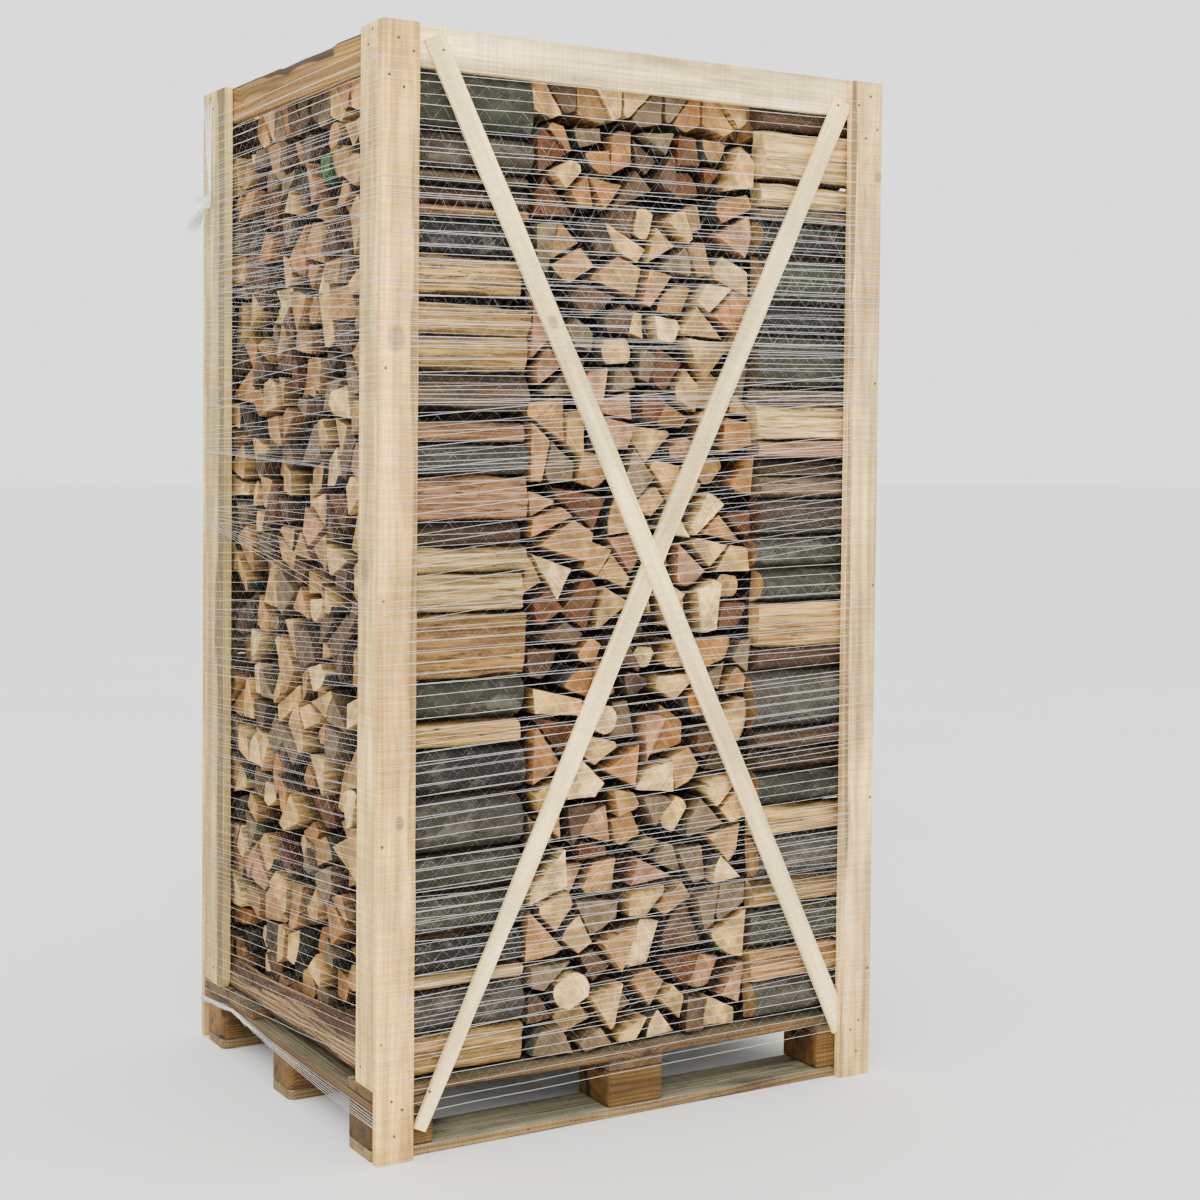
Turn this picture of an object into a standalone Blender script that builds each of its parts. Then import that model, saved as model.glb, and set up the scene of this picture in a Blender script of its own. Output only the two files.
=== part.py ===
"""Tall crate of split beech firewood on a four-way pallet, held in a knitted net.

Metres, +Z up. X runs along the long side, the braced front faces -Y, and the origin is at
floor level under the middle skid.
"""

import math
import random

import bmesh
import bpy
from mathutils import Matrix, Vector

# Crate
LENGTH = 1.200
WIDTH = 1.000
HEIGHT = 2.200
BOARD_WIDTH = 0.082
BOARD_THICKNESS = 0.021
WIDE_SIDE_BOARD = 0.118
TOP_RAIL_HEIGHT = 0.080
LOW_RAIL_TOP = (0.241, 0.199)
LOW_RAIL_STEPS = 6
LOW_RAIL_WAVE = 0.003
LOW_RAIL_WAVE_TURN = 9.0
POST_DROPS = {
    ("front", "left"): 0.0,
    ("front", "right"): 0.004,
    ("back", "left"): 0.001,
    ("back", "right"): 0.003,
}
TOP_RAIL_DROP = 0.0005
FOOT_CHIP = 0.002
WIDE_BOARD_CHIP = 0.014
CHIP_STEEPNESS = 1.6
GAP = 0.0003
INNER_X = LENGTH / 2 - BOARD_THICKNESS
INNER_Y = WIDTH / 2 - BOARD_THICKNESS

# Pallet
SKID_THICKNESS = 0.022
BLOCK_TOP = 0.098
CROSS_TOP = 0.118
DECK_TOP = 0.140
SKID_ROWS = {
    "front": (-0.4787, -0.3540),
    "middle": (-0.0550, 0.0550),
    "back": (0.3520, 0.4620),
}
CROSS_ROWS = {
    "left": (-0.600, -0.470),
    "middle": (-0.065, 0.065),
    "right": (0.470, 0.600),
}
SHORT_DECK_END = 0.540
DECK_ROWS = (
    (-0.4787, -0.3590, LENGTH / 2),
    (-0.2500, -0.1500, SHORT_DECK_END),
    (-0.0500, 0.0500, SHORT_DECK_END),
    (0.1650, 0.3150, LENGTH / 2),
    (0.3185, 0.4787, LENGTH / 2),
)

# Crossed laths
LATH_THICKNESS = 0.010
LATH_WIDTH = 0.046
LATH_FOOT_WIDTH = 0.030
LATH_STATIONS = 9
LATH_TAPER_SHARE = 0.35
FALLING_LATH = ((-0.486, 2.179), (0.530, 0.108))
RISING_LATH = ((-0.503, 0.054), (0.502, 2.150))

# Log columns
LEFT_SEED = 110
RIGHT_SEED = 210
MIDDLE_SEED = 310
LOG_REACH_X = 0.577
LOG_REACH_Y = 0.4765
LOG_BOTTOM = DECK_TOP + GAP
CORE_TOP = 2.080
LEFT_COLUMN_END = -0.2560
RIGHT_COLUMN_END = 0.2940
CORE_INSET = 0.032
SIDE_LOG_INSET = 0.0365
CORE_END_INSET = 0.024
STACK_FOOT = 0.004
STACK_TOP = CORE_TOP - 0.030
PRISM_SINK = 0.012
LOG_GAP = 0.0055
GAP_SPREAD = (0.5, 1.2)
CELL_SCATTER = 0.36
ROW_STAGGER = 0.125
NEIGHBOUR_REACH = 4
SIZE_SPREAD = (0.55, 1.0)
SPLIT_TRIES = 12
SPLIT_TURN = 0.62
SPLIT_SHIFT = 0.16
SEEN_SPACING = 0.150
SEEN_LARGEST = 0.0360
HIDDEN_SPACING = 0.220
HIDDEN_LARGEST = 0.0560
SMALLEST_END = 0.0048
CORNER_SHARE = 0.115
BARK_SHARE = 0.62
BARK_REACH = (0.80, 0.93)
SHORTEST_SIDE = 0.021
BARK_SIDES = 9
FACE_SLACK = 0.013
BULGE_SHARE = 0.55
RIDGE_HEIGHT = 0.35
FACE_SPREAD = 0.008
INNER_END_SPREAD = 0.018
SEEN_ARC = 4
HIDDEN_ARC = 3
END_MARGIN = 0.020
RAIL_CLEARANCE = 0.0035
END_DEPTHS = (0.0, 0.004, 0.008, 0.012, 0.019)

# Side-on logs of the outer columns, seen from the front: bottom, top and form
LEFT_FRONT_LOGS = (
    (0.152, 0.226, "split"),
    (0.230, 0.318, "bark"),
    (0.322, 0.345, "split"),
    (0.349, 0.419, "bark"),
    (0.423, 0.505, "bark"),
    (0.509, 0.585, "bark"),
    (0.589, 0.697, "bark"),
    (0.701, 0.795, "bark"),
    (0.799, 0.846, "split"),
    (0.850, 0.930, "bark"),
    (0.934, 1.059, "split"),
    (1.064, 1.138, "bark"),
    (1.142, 1.191, "split"),
    (1.195, 1.243, "wedge"),
    (1.247, 1.330, "split"),
    (1.334, 1.397, "bark"),
    (1.401, 1.438, "split"),
    (1.465, 1.536, "split"),
    (1.540, 1.606, "bark"),
    (1.611, 1.668, "split"),
    (1.690, 1.764, "split"),
    (1.768, 1.840, "bark"),
    (1.844, 1.860, "split"),
    (1.864, 1.905, "wedge"),
    (1.909, 1.926, "split"),
    (1.930, 2.003, "bark"),
    (2.007, 2.112, "bark"),
)
RIGHT_FRONT_LOGS = (
    (0.150, 0.232, "bark"),
    (0.237, 0.300, "split"),
    (0.304, 0.392, "bark"),
    (0.396, 0.452, "wedge"),
    (0.456, 0.548, "bark"),
    (0.552, 0.612, "split"),
    (0.616, 0.690, "bark"),
    (0.694, 0.739, "wedge"),
    (0.743, 0.779, "split"),
    (0.783, 0.911, "bark"),
    (0.915, 0.957, "split"),
    (0.961, 1.056, "split"),
    (1.060, 1.132, "bark"),
    (1.136, 1.200, "bark"),
    (1.204, 1.286, "bark"),
    (1.290, 1.330, "split"),
    (1.334, 1.371, "wedge"),
    (1.375, 1.410, "split"),
    (1.414, 1.488, "split"),
    (1.492, 1.519, "split"),
    (1.524, 1.638, "bark"),
    (1.642, 1.703, "bark"),
    (1.707, 1.808, "bark"),
    (1.812, 1.882, "bark"),
    (1.886, 1.909, "split"),
    (1.913, 1.960, "split"),
    (1.974, 2.075, "split"),
    (2.079, 2.116, "wedge"),
)
BACK_LOG_HEIGHTS = (0.075, 0.135)
BACK_STACK_FOOT = 0.010
BACK_LOG_GAP = 0.005
UNDER_RAIL = 0.006
TOP_LOG_WIDTHS = (0.085, 0.120)
TOP_LOG_HEIGHTS = (0.045, 0.078)
TOP_LOG_RIDGE = (0.3, 0.7)
TOP_LOG_SHOULDER = (0.35, 0.8)
TOP_LOG_SINK = 0.020
TOP_LOG_GAP = 0.005
TOP_LOG_INNER_END = (0.002, 0.020)
TOP_LOG_OUTER_END = 0.015
TOP_ROW_MARGIN = 0.006
TOP_ROW_GAP = 0.012

# Net
NET_REACH = 0.0022
NET_CORNER = 0.0012
STRAND_RADIUS = 0.0012
NET_BOTTOM = 0.101
NET_TOP = 2.168
NET_TURNS = 21
KNOT_PLACE = (-0.6115, 0.440)
KNOT_HEIGHT = 1.950
KNOT_RADII = (0.011, 0.015, 0.021)
LONG_TUFT = (-0.026, 0.052, -0.070)
LONG_TUFT_RADIUS = 0.019
SHORT_TUFT = (-0.020, 0.040, 0.014)
SHORT_TUFT_RADIUS = 0.009
TUFT_ROOT_RADIUS = 0.004
TUFT_SIDES = 8
WELD = 0.00001


def clear_scene():
    for obj in list(bpy.data.objects):
        bpy.data.objects.remove(obj, do_unlink=True)
    parts = bpy.data.collections.new("Firewood pallet")
    helpers = bpy.data.collections.new("Helpers")
    bpy.context.scene.collection.children.link(parts)
    bpy.context.scene.collection.children.link(helpers)
    return parts, helpers


def material(name, colour, roughness):
    """Plain Principled material from a linear colour."""
    mat = bpy.data.materials.new(name)
    mat.use_nodes = True
    shader = mat.node_tree.nodes["Principled BSDF"]
    shader.inputs["Base Color"].default_value = (*colour, 1.0)
    shader.inputs["Roughness"].default_value = roughness
    shader.inputs["Metallic"].default_value = 0.0
    mat.diffuse_color = (*colour, 1.0)
    return mat


def object_from_bmesh(bm, name, collection, mat):
    mesh = bpy.data.meshes.new(name)
    bm.to_mesh(mesh)
    bm.free()
    mesh.materials.append(mat)
    obj = bpy.data.objects.new(name, mesh)
    collection.objects.link(obj)
    return obj


def board(name, x_range, y_range, z_range, collection, mat):
    """Sawn board or block as a cube stretched to its three ranges."""
    ranges = (x_range, y_range, z_range)
    size = Vector([high - low for low, high in ranges])
    centre = Vector([(high + low) / 2 for low, high in ranges])
    bm = bmesh.new()
    bmesh.ops.create_cube(bm, size=1.0, matrix=Matrix.Diagonal((*size, 1.0)))
    obj = object_from_bmesh(bm, name, collection, mat)
    obj.location = centre
    return obj


# Outlines are lists of (u, v) points, convex and anticlockwise


def clip_outline(outline, point, normal):
    """Keep the side of a line that its normal points away from."""
    kept = []
    for index, here in enumerate(outline):
        ahead = outline[(index + 1) % len(outline)]
        side = (here[0] - point[0]) * normal[0] + (here[1] - point[1]) * normal[1]
        next_side = (ahead[0] - point[0]) * normal[0] + (ahead[1] - point[1]) * normal[1]
        if side <= 0:
            kept.append(here)
        if side * next_side < 0:
            share = side / (side - next_side)
            crossing_u = here[0] + share * (ahead[0] - here[0])
            crossing_v = here[1] + share * (ahead[1] - here[1])
            kept.append((crossing_u, crossing_v))
    return kept


def outline_area(outline):
    total = 0.0
    for index, (u, v) in enumerate(outline):
        next_u, next_v = outline[(index + 1) % len(outline)]
        total += u * next_v - next_u * v
    return total / 2


def outline_centre(outline):
    count = len(outline)
    return sum(u for u, _ in outline) / count, sum(v for _, v in outline) / count


def long_direction(outline):
    """Angle of the outline's longer way, from the spread of its corners."""
    centre_u, centre_v = outline_centre(outline)
    uu = sum((u - centre_u) ** 2 for u, _ in outline)
    vv = sum((v - centre_v) ** 2 for _, v in outline)
    uv = sum((u - centre_u) * (v - centre_v) for u, v in outline)
    return 0.5 * math.atan2(2 * uv, uu - vv)


def split_outline(code, outline, largest, logs):
    """Cut an outline across its longer way until each piece is one log's end.

    Each piece draws from its own code, so that a smaller limit only cuts further.
    """
    rng = random.Random(code)
    area = outline_area(outline)
    if area < largest * rng.uniform(*SIZE_SPREAD):
        logs.append((code, outline))
        return
    along = long_direction(outline)
    centre_u, centre_v = outline_centre(outline)
    reach = math.sqrt(area)
    for _ in range(SPLIT_TRIES):
        angle = along + rng.uniform(-SPLIT_TURN, SPLIT_TURN)
        shift = rng.uniform(-SPLIT_SHIFT, SPLIT_SHIFT) * reach
        point = (centre_u + shift * math.cos(along), centre_v + shift * math.sin(along))
        normal = (math.cos(angle), math.sin(angle))
        first = clip_outline(outline, point, normal)
        second = clip_outline(outline, point, (-normal[0], -normal[1]))
        if min(outline_area(first), outline_area(second)) > SMALLEST_END:
            break
    split_outline(2 * code, first, largest, logs)
    split_outline(2 * code + 1, second, largest, logs)


def inset_outline(outline, distance):
    """Move every side of an outline inwards."""
    inner = outline
    for index, (u, v) in enumerate(outline):
        next_u, next_v = outline[(index + 1) % len(outline)]
        length = math.hypot(next_u - u, next_v - v)
        if length < WELD:
            continue
        normal = ((next_v - v) / length, -(next_u - u) / length)
        inner = clip_outline(inner, (u - normal[0] * distance, v - normal[1] * distance), normal)
    return inner


def bark_outline(outline, pith, radius):
    """Round the far side of an outline to a circle about the pith, as the bark is."""
    for index in range(BARK_SIDES):
        angle = 2 * math.pi * index / BARK_SIDES
        normal = (math.cos(angle), math.sin(angle))
        point = (pith[0] + radius * normal[0], pith[1] + radius * normal[1])
        outline = clip_outline(outline, point, normal)
    return outline


def main_corners(outline, smallest_share):
    """Drop the corners that hold little of the outline, as a split log has few faces."""
    area = outline_area(outline)
    while len(outline) > 3:
        count = len(outline)
        ears = [
            outline_area([outline[i - 1], outline[i], outline[(i + 1) % count]])
            for i in range(count)
        ]
        least = min(range(count), key=ears.__getitem__)
        if ears[least] > smallest_share * area:
            break
        outline = outline[:least] + outline[least + 1 :]
    return outline


def drop_short_sides(outline, shortest):
    kept = []
    for point in outline:
        if not kept or math.dist(point, kept[-1]) > shortest:
            kept.append(point)
    if math.dist(kept[0], kept[-1]) < shortest:
        kept.pop()
    return kept


def log_end(code, cell):
    """Outline of one split log inside its cell: mostly a wedge whose far side is bark."""
    rng = random.Random(code + 0.5)
    outline = main_corners(inset_outline(cell, LOG_GAP * rng.uniform(*GAP_SPREAD)), CORNER_SHARE)
    pith = outline[rng.randrange(len(outline))]
    reach = max(math.dist(pith, point) for point in outline)
    if rng.random() < BARK_SHARE:
        outline = bark_outline(outline, pith, reach * rng.uniform(*BARK_REACH))
    return drop_short_sides(outline, SHORTEST_SIDE), rng.choice(END_DEPTHS)


def rectangle(low_u, high_u, low_v, high_v):
    return [(low_u, low_v), (high_u, low_v), (high_u, high_v), (low_u, high_v)]


def scattered_cells(seed, ranges, spacing):
    """Part a rectangle among scattered points: each cell is what lies nearest to its point."""
    rng = random.Random(seed)
    low_u, high_u, low_v, high_v = ranges
    columns = max(1, round((high_u - low_u) / spacing))
    rows = max(1, round((high_v - low_v) / spacing))
    points = []
    for row in range(rows):
        for column in range(columns):
            stagger = ROW_STAGGER if row % 2 else -ROW_STAGGER
            scatter = rng.uniform(-CELL_SCATTER, CELL_SCATTER)
            place_u = (column + 0.5 + scatter + stagger) / columns
            place_v = (row + 0.5 + rng.uniform(-CELL_SCATTER, CELL_SCATTER)) / rows
            points.append((low_u + (high_u - low_u) * place_u, low_v + (high_v - low_v) * place_v))
    cells = []
    for point in points:
        cell = rectangle(low_u, high_u, low_v, high_v)
        for other in points:
            distance = math.dist(point, other)
            if 0 < distance < NEIGHBOUR_REACH * spacing:
                normal = ((other[0] - point[0]) / distance, (other[1] - point[1]) / distance)
                halfway = ((point[0] + other[0]) / 2, (point[1] + other[1]) / 2)
                cell = clip_outline(cell, halfway, normal)
        cells.append(cell)
    return cells


def stacked_ends(seed, ranges, spacing, largest):
    """Log ends that fill a rectangle of a column's face, with how far each stands back."""
    logs = []
    for index, cell in enumerate(scattered_cells(seed, ranges, spacing)):
        split_outline(seed * 1000 + index + 1, cell, largest, logs)
    return [log_end(code, outline) for code, outline in logs]


def side_log_section(rng, low_z, high_z, form, back, front, arc_points):
    """Section of a log seen side on. It runs from back to front, and front may be on either side."""
    way = 1.0 if front > back else -1.0
    slack = FACE_SLACK * way
    if form == "bark":
        half = (high_z - low_z) / 2
        middle = (low_z + high_z) / 2
        bulge = BULGE_SHARE * (front - back)
        points = [(back, low_z), (back, high_z)]
        for step in range(arc_points):
            angle = math.pi / 2 - math.pi * step / (arc_points - 1)
            points.append((front - bulge + bulge * math.cos(angle), middle + half * math.sin(angle)))
    elif form == "split":
        points = [
            (back, low_z),
            (back, high_z),
            (front - slack * rng.random(), high_z),
            (front - slack * rng.random(), low_z),
        ]
    else:
        points = [
            (back, low_z),
            (back, high_z),
            (front - slack * 2, high_z),
            (front, low_z + (high_z - low_z) * RIDGE_HEIGHT),
            (front - slack, low_z),
        ]
    if outline_area(points) < 0:
        points.reverse()
    return points


class Prisms:
    """Log prisms of one column, joined in one mesh that is later fused with the column's core."""

    def __init__(self):
        self.curves = []

    def add(self, outline, axis, start, end):
        """A flat outline extruded along X or Y between two positions."""
        curve = bpy.data.curves.new("log outline", "CURVE")
        curve.dimensions = "2D"
        curve.fill_mode = "BOTH"
        curve.extrude = abs(end - start) / 2
        spline = curve.splines.new("POLY")
        spline.points.add(len(outline) - 1)
        for point, (u, v) in zip(spline.points, outline):
            point.co = (u, v, 0.0, 1.0)
        spline.use_cyclic_u = True
        obj = bpy.data.objects.new("log outline", curve)
        middle = (start + end) / 2
        if axis == "X":
            columns = (Vector((0, 1, 0)), Vector((0, 0, 1)), Vector((1, 0, 0)))
            place = Vector((middle, 0, 0))
        else:
            columns = (Vector((1, 0, 0)), Vector((0, 0, 1)), Vector((0, -1, 0)))
            place = Vector((0, middle, 0))
        turn = Matrix(columns).transposed().to_4x4()
        obj.matrix_world = Matrix.Translation(place) @ turn
        bpy.context.scene.collection.objects.link(obj)
        self.curves.append(obj)

    def join(self, name, collection, mat):
        bpy.context.view_layer.update()
        graph = bpy.context.evaluated_depsgraph_get()
        whole = bmesh.new()
        for obj in self.curves:
            mesh = bpy.data.meshes.new_from_object(obj.evaluated_get(graph))
            mesh.transform(obj.matrix_world)
            whole.from_mesh(mesh)
            bpy.data.meshes.remove(mesh)
        for obj in self.curves:
            bpy.data.objects.remove(obj, do_unlink=True)
        bmesh.ops.remove_doubles(whole, verts=whole.verts, dist=WELD)
        bmesh.ops.recalc_face_normals(whole, faces=whole.faces)
        obj = object_from_bmesh(whole, name, collection, mat)
        obj.hide_render = True
        obj.display_type = "WIRE"
        return obj


def end_limit(outline, reach):
    """How far out a log end may reach: the rails at top and bottom hold it back."""
    lowest = min(v for _, v in outline)
    highest = max(v for _, v in outline)
    behind_rail = lowest < max(LOW_RAIL_TOP) + RAIL_CLEARANCE or highest > HEIGHT - TOP_RAIL_HEIGHT
    return reach - BOARD_THICKNESS - RAIL_CLEARANCE if behind_rail else reach


def back_row_logs(seed):
    """Side-on logs of a column's unseen back, stacked with random heights."""
    rng = random.Random(seed)
    rows = []
    bottom = LOG_BOTTOM + BACK_STACK_FOOT
    highest = HEIGHT - TOP_RAIL_HEIGHT - UNDER_RAIL
    while bottom < CORE_TOP - BACK_LOG_HEIGHTS[0]:
        top = min(bottom + rng.uniform(*BACK_LOG_HEIGHTS), highest)
        rows.append((bottom, top, rng.choice(("bark", "bark", "split", "wedge"))))
        bottom = top + BACK_LOG_GAP
    return rows


def top_row_outlines(rng, low_u, high_u, base):
    """Logs lying side by side on top of a column, as seen from their ends."""
    outlines = []
    left = low_u
    while left < high_u - TOP_LOG_WIDTHS[0]:
        right = min(left + rng.uniform(*TOP_LOG_WIDTHS), high_u)
        height = rng.uniform(*TOP_LOG_HEIGHTS)
        ridge = left + (right - left) * rng.uniform(*TOP_LOG_RIDGE)
        shoulder = height * rng.uniform(*TOP_LOG_SHOULDER)
        outlines.append(
            [
                (left, base - TOP_LOG_SINK),
                (right, base - TOP_LOG_SINK),
                (right, base + height - shoulder),
                (ridge, base + height),
                (left, base + height - shoulder),
            ]
        )
        left = right + TOP_LOG_GAP
    return outlines


def fuse(name, core_ranges, prisms, collection, helpers, mat):
    """Column core with its log prisms fused to it."""
    core = board(name, *core_ranges, collection, mat)
    tool = prisms.join(name + " prisms", helpers, mat)
    union = core.modifiers.new("Logs", "BOOLEAN")
    union.operation = "UNION"
    union.solver = "EXACT"
    union.object = tool
    return core


def outer_column(name, side, seed, front_logs, column_end, collection, helpers, mat):
    """Column at a short side: its logs lie along X, and their ends show on that side."""
    rng = random.Random(seed)
    prisms = Prisms()
    core_face = side * (LOG_REACH_X - CORE_INSET)
    core_end = column_end + side * CORE_END_INSET
    core_half = LOG_REACH_Y - SIDE_LOG_INSET
    half = core_half - END_MARGIN
    ranges = (-half, half, LOG_BOTTOM + STACK_FOOT, STACK_TOP)
    spacing = SEEN_SPACING if side < 0 else HIDDEN_SPACING
    largest = SEEN_LARGEST if side < 0 else HIDDEN_LARGEST
    for outline, depth in stacked_ends(seed + 1, ranges, spacing, largest):
        reach = end_limit(outline, LOG_REACH_X)
        if reach < LOG_REACH_X:
            depth = 0.0
        prisms.add(outline, "X", core_face - side * PRISM_SINK, side * (reach - depth))
    rows_by_face = (
        (front_logs, -LOG_REACH_Y, SEEN_ARC),
        (back_row_logs(seed + 2), LOG_REACH_Y, HIDDEN_ARC),
    )
    for rows, face, arc_points in rows_by_face:
        back = math.copysign(core_half - PRISM_SINK, face)
        for low_z, high_z, form in rows:
            front = face - math.copysign(rng.uniform(0, FACE_SPREAD), face)
            section = side_log_section(rng, low_z, high_z, form, back, front, arc_points)
            reach = end_limit(section, LOG_REACH_X)
            inner = column_end + side * rng.uniform(0, INNER_END_SPREAD)
            prisms.add(section, "X", inner, side * reach)
    for outline in top_row_outlines(rng, -half, half, CORE_TOP):
        reach = LOG_REACH_X - BOARD_THICKNESS - RAIL_CLEARANCE
        inner = column_end + side * rng.uniform(*TOP_LOG_INNER_END)
        prisms.add(outline, "X", inner, side * (reach - rng.uniform(0, TOP_LOG_OUTER_END)))
    core = (tuple(sorted((core_face, core_end))), (-core_half, core_half), (LOG_BOTTOM, CORE_TOP))
    return fuse(name, core, prisms, collection, helpers, mat)


def middle_column(seed, collection, helpers, mat):
    """Middle column: its logs lie along Y, in three rows from front to back."""
    rng = random.Random(seed)
    prisms = Prisms()
    low_x = LEFT_COLUMN_END + GAP
    high_x = RIGHT_COLUMN_END - GAP
    core_half = LOG_REACH_Y - CORE_INSET
    area = (low_x + STACK_FOOT, high_x - STACK_FOOT, LOG_BOTTOM + STACK_FOOT, STACK_TOP)
    faces = ((-1, SEEN_SPACING, SEEN_LARGEST), (1, HIDDEN_SPACING, HIDDEN_LARGEST))
    for side, spacing, largest in faces:
        for outline, depth in stacked_ends(seed + side, area, spacing, largest):
            prisms.add(outline, "Y", side * (core_half - PRISM_SINK), side * (LOG_REACH_Y - depth))
    row_length = 2 * (INNER_Y - BOARD_THICKNESS - RAIL_CLEARANCE - TOP_ROW_GAP) / 3
    for row in (-1, 0, 1):
        middle = row * (row_length + TOP_ROW_GAP)
        for outline in top_row_outlines(rng, low_x + TOP_ROW_MARGIN, high_x - TOP_ROW_MARGIN, CORE_TOP):
            prisms.add(outline, "Y", middle - row_length / 2, middle + row_length / 2)
    core = ((low_x, high_x), (-core_half, core_half), (LOG_BOTTOM, CORE_TOP))
    return fuse("logs_middle", core, prisms, collection, helpers, mat)


def flat_piece(name, outline, thickness, matrix, collection, mat):
    """Flat outline in its own plane, given its thickness and put in place as a mesh."""
    curve = bpy.data.curves.new(name, "CURVE")
    curve.dimensions = "2D"
    curve.fill_mode = "BOTH"
    curve.extrude = thickness / 2
    spline = curve.splines.new("POLY")
    spline.points.add(len(outline) - 1)
    for point, (u, v) in zip(spline.points, outline):
        point.co = (u, v, 0.0, 1.0)
    spline.use_cyclic_u = True
    guide = bpy.data.objects.new(name + " outline", curve)
    bpy.context.scene.collection.objects.link(guide)
    bpy.context.view_layer.update()
    graph = bpy.context.evaluated_depsgraph_get()
    mesh = bpy.data.meshes.new_from_object(guide.evaluated_get(graph))
    bpy.data.objects.remove(guide, do_unlink=True)
    bm = bmesh.new()
    bm.from_mesh(mesh)
    bpy.data.meshes.remove(mesh)
    bmesh.ops.remove_doubles(bm, verts=bm.verts, dist=WELD)
    bmesh.ops.recalc_face_normals(bm, faces=bm.faces)
    obj = object_from_bmesh(bm, name, collection, mat)
    obj.matrix_world = matrix
    return obj


def facing_x(x):
    """Put an outline of (y, z) points in the plane at x."""
    columns = (Vector((0, 1, 0)), Vector((0, 0, 1)), Vector((1, 0, 0)))
    return Matrix.Translation((x, 0, 0)) @ Matrix(columns).transposed().to_4x4()


def facing_y(y):
    """Put an outline of (x, z) points in the plane at y."""
    columns = (Vector((1, 0, 0)), Vector((0, 0, 1)), Vector((0, -1, 0)))
    return Matrix.Translation((0, y, 0)) @ Matrix(columns).transposed().to_4x4()


def lath(name, ends, foot_width, bow, side, collection, mat):
    """Thin lath between two points of the front or back, trimmed along the posts.

    It lies on the rail at its ends and may bow outwards over the lath that it crosses.
    """
    (start_x, start_z), (end_x, end_z) = ends
    length = math.dist(ends[0], ends[1])
    along = ((end_x - start_x) / length, (end_z - start_z) / length)
    across = (-along[1], along[0])
    left, right = [], []
    for station in range(LATH_STATIONS):
        share = station / (LATH_STATIONS - 1)
        half = (foot_width + (LATH_WIDTH - foot_width) * min(1.0, share / LATH_TAPER_SHARE)) / 2
        centre = (start_x + along[0] * length * share, start_z + along[1] * length * share)
        left.append((centre[0] + across[0] * half, centre[1] + across[1] * half))
        right.append((centre[0] - across[0] * half, centre[1] - across[1] * half))
    outline = right + left[::-1]
    inner_edge = LENGTH / 2 - BOARD_WIDTH - GAP
    outline = clip_outline(outline, (inner_edge, 0), (1, 0))
    outline = clip_outline(outline, (-inner_edge, 0), (-1, 0))
    middle = side * (INNER_Y + GAP + LATH_THICKNESS / 2)
    obj = flat_piece(name, outline, LATH_THICKNESS, facing_y(middle), collection, mat)
    if bow:
        turn = facing_y(middle)
        back = turn.inverted()
        for vertex in obj.data.vertices:
            place = turn @ vertex.co
            share = (place.z - start_z) / (end_z - start_z)
            place.y += side * bow * math.sin(math.pi * min(1.0, max(0.0, share)))
            vertex.co = back @ place
    return obj


def low_rail(name, side, collection, mat):
    """Rough board on the deck at a short side, higher at the front than at the back."""
    front_top, back_top = LOW_RAIL_TOP
    reach = INNER_Y - GAP
    top_edge = []
    for step in range(LOW_RAIL_STEPS + 1):
        share = step / LOW_RAIL_STEPS
        wane = LOW_RAIL_WAVE * math.sin(LOW_RAIL_WAVE_TURN * share + side)
        top_edge.append((reach * (2 * share - 1), front_top + (back_top - front_top) * share + wane))
    outline = [(-reach, LOG_BOTTOM), (reach, LOG_BOTTOM)] + top_edge[::-1]
    middle = side * (INNER_X - GAP - BOARD_THICKNESS / 2)
    return flat_piece(name, outline, BOARD_THICKNESS, facing_x(middle), collection, mat)


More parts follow.
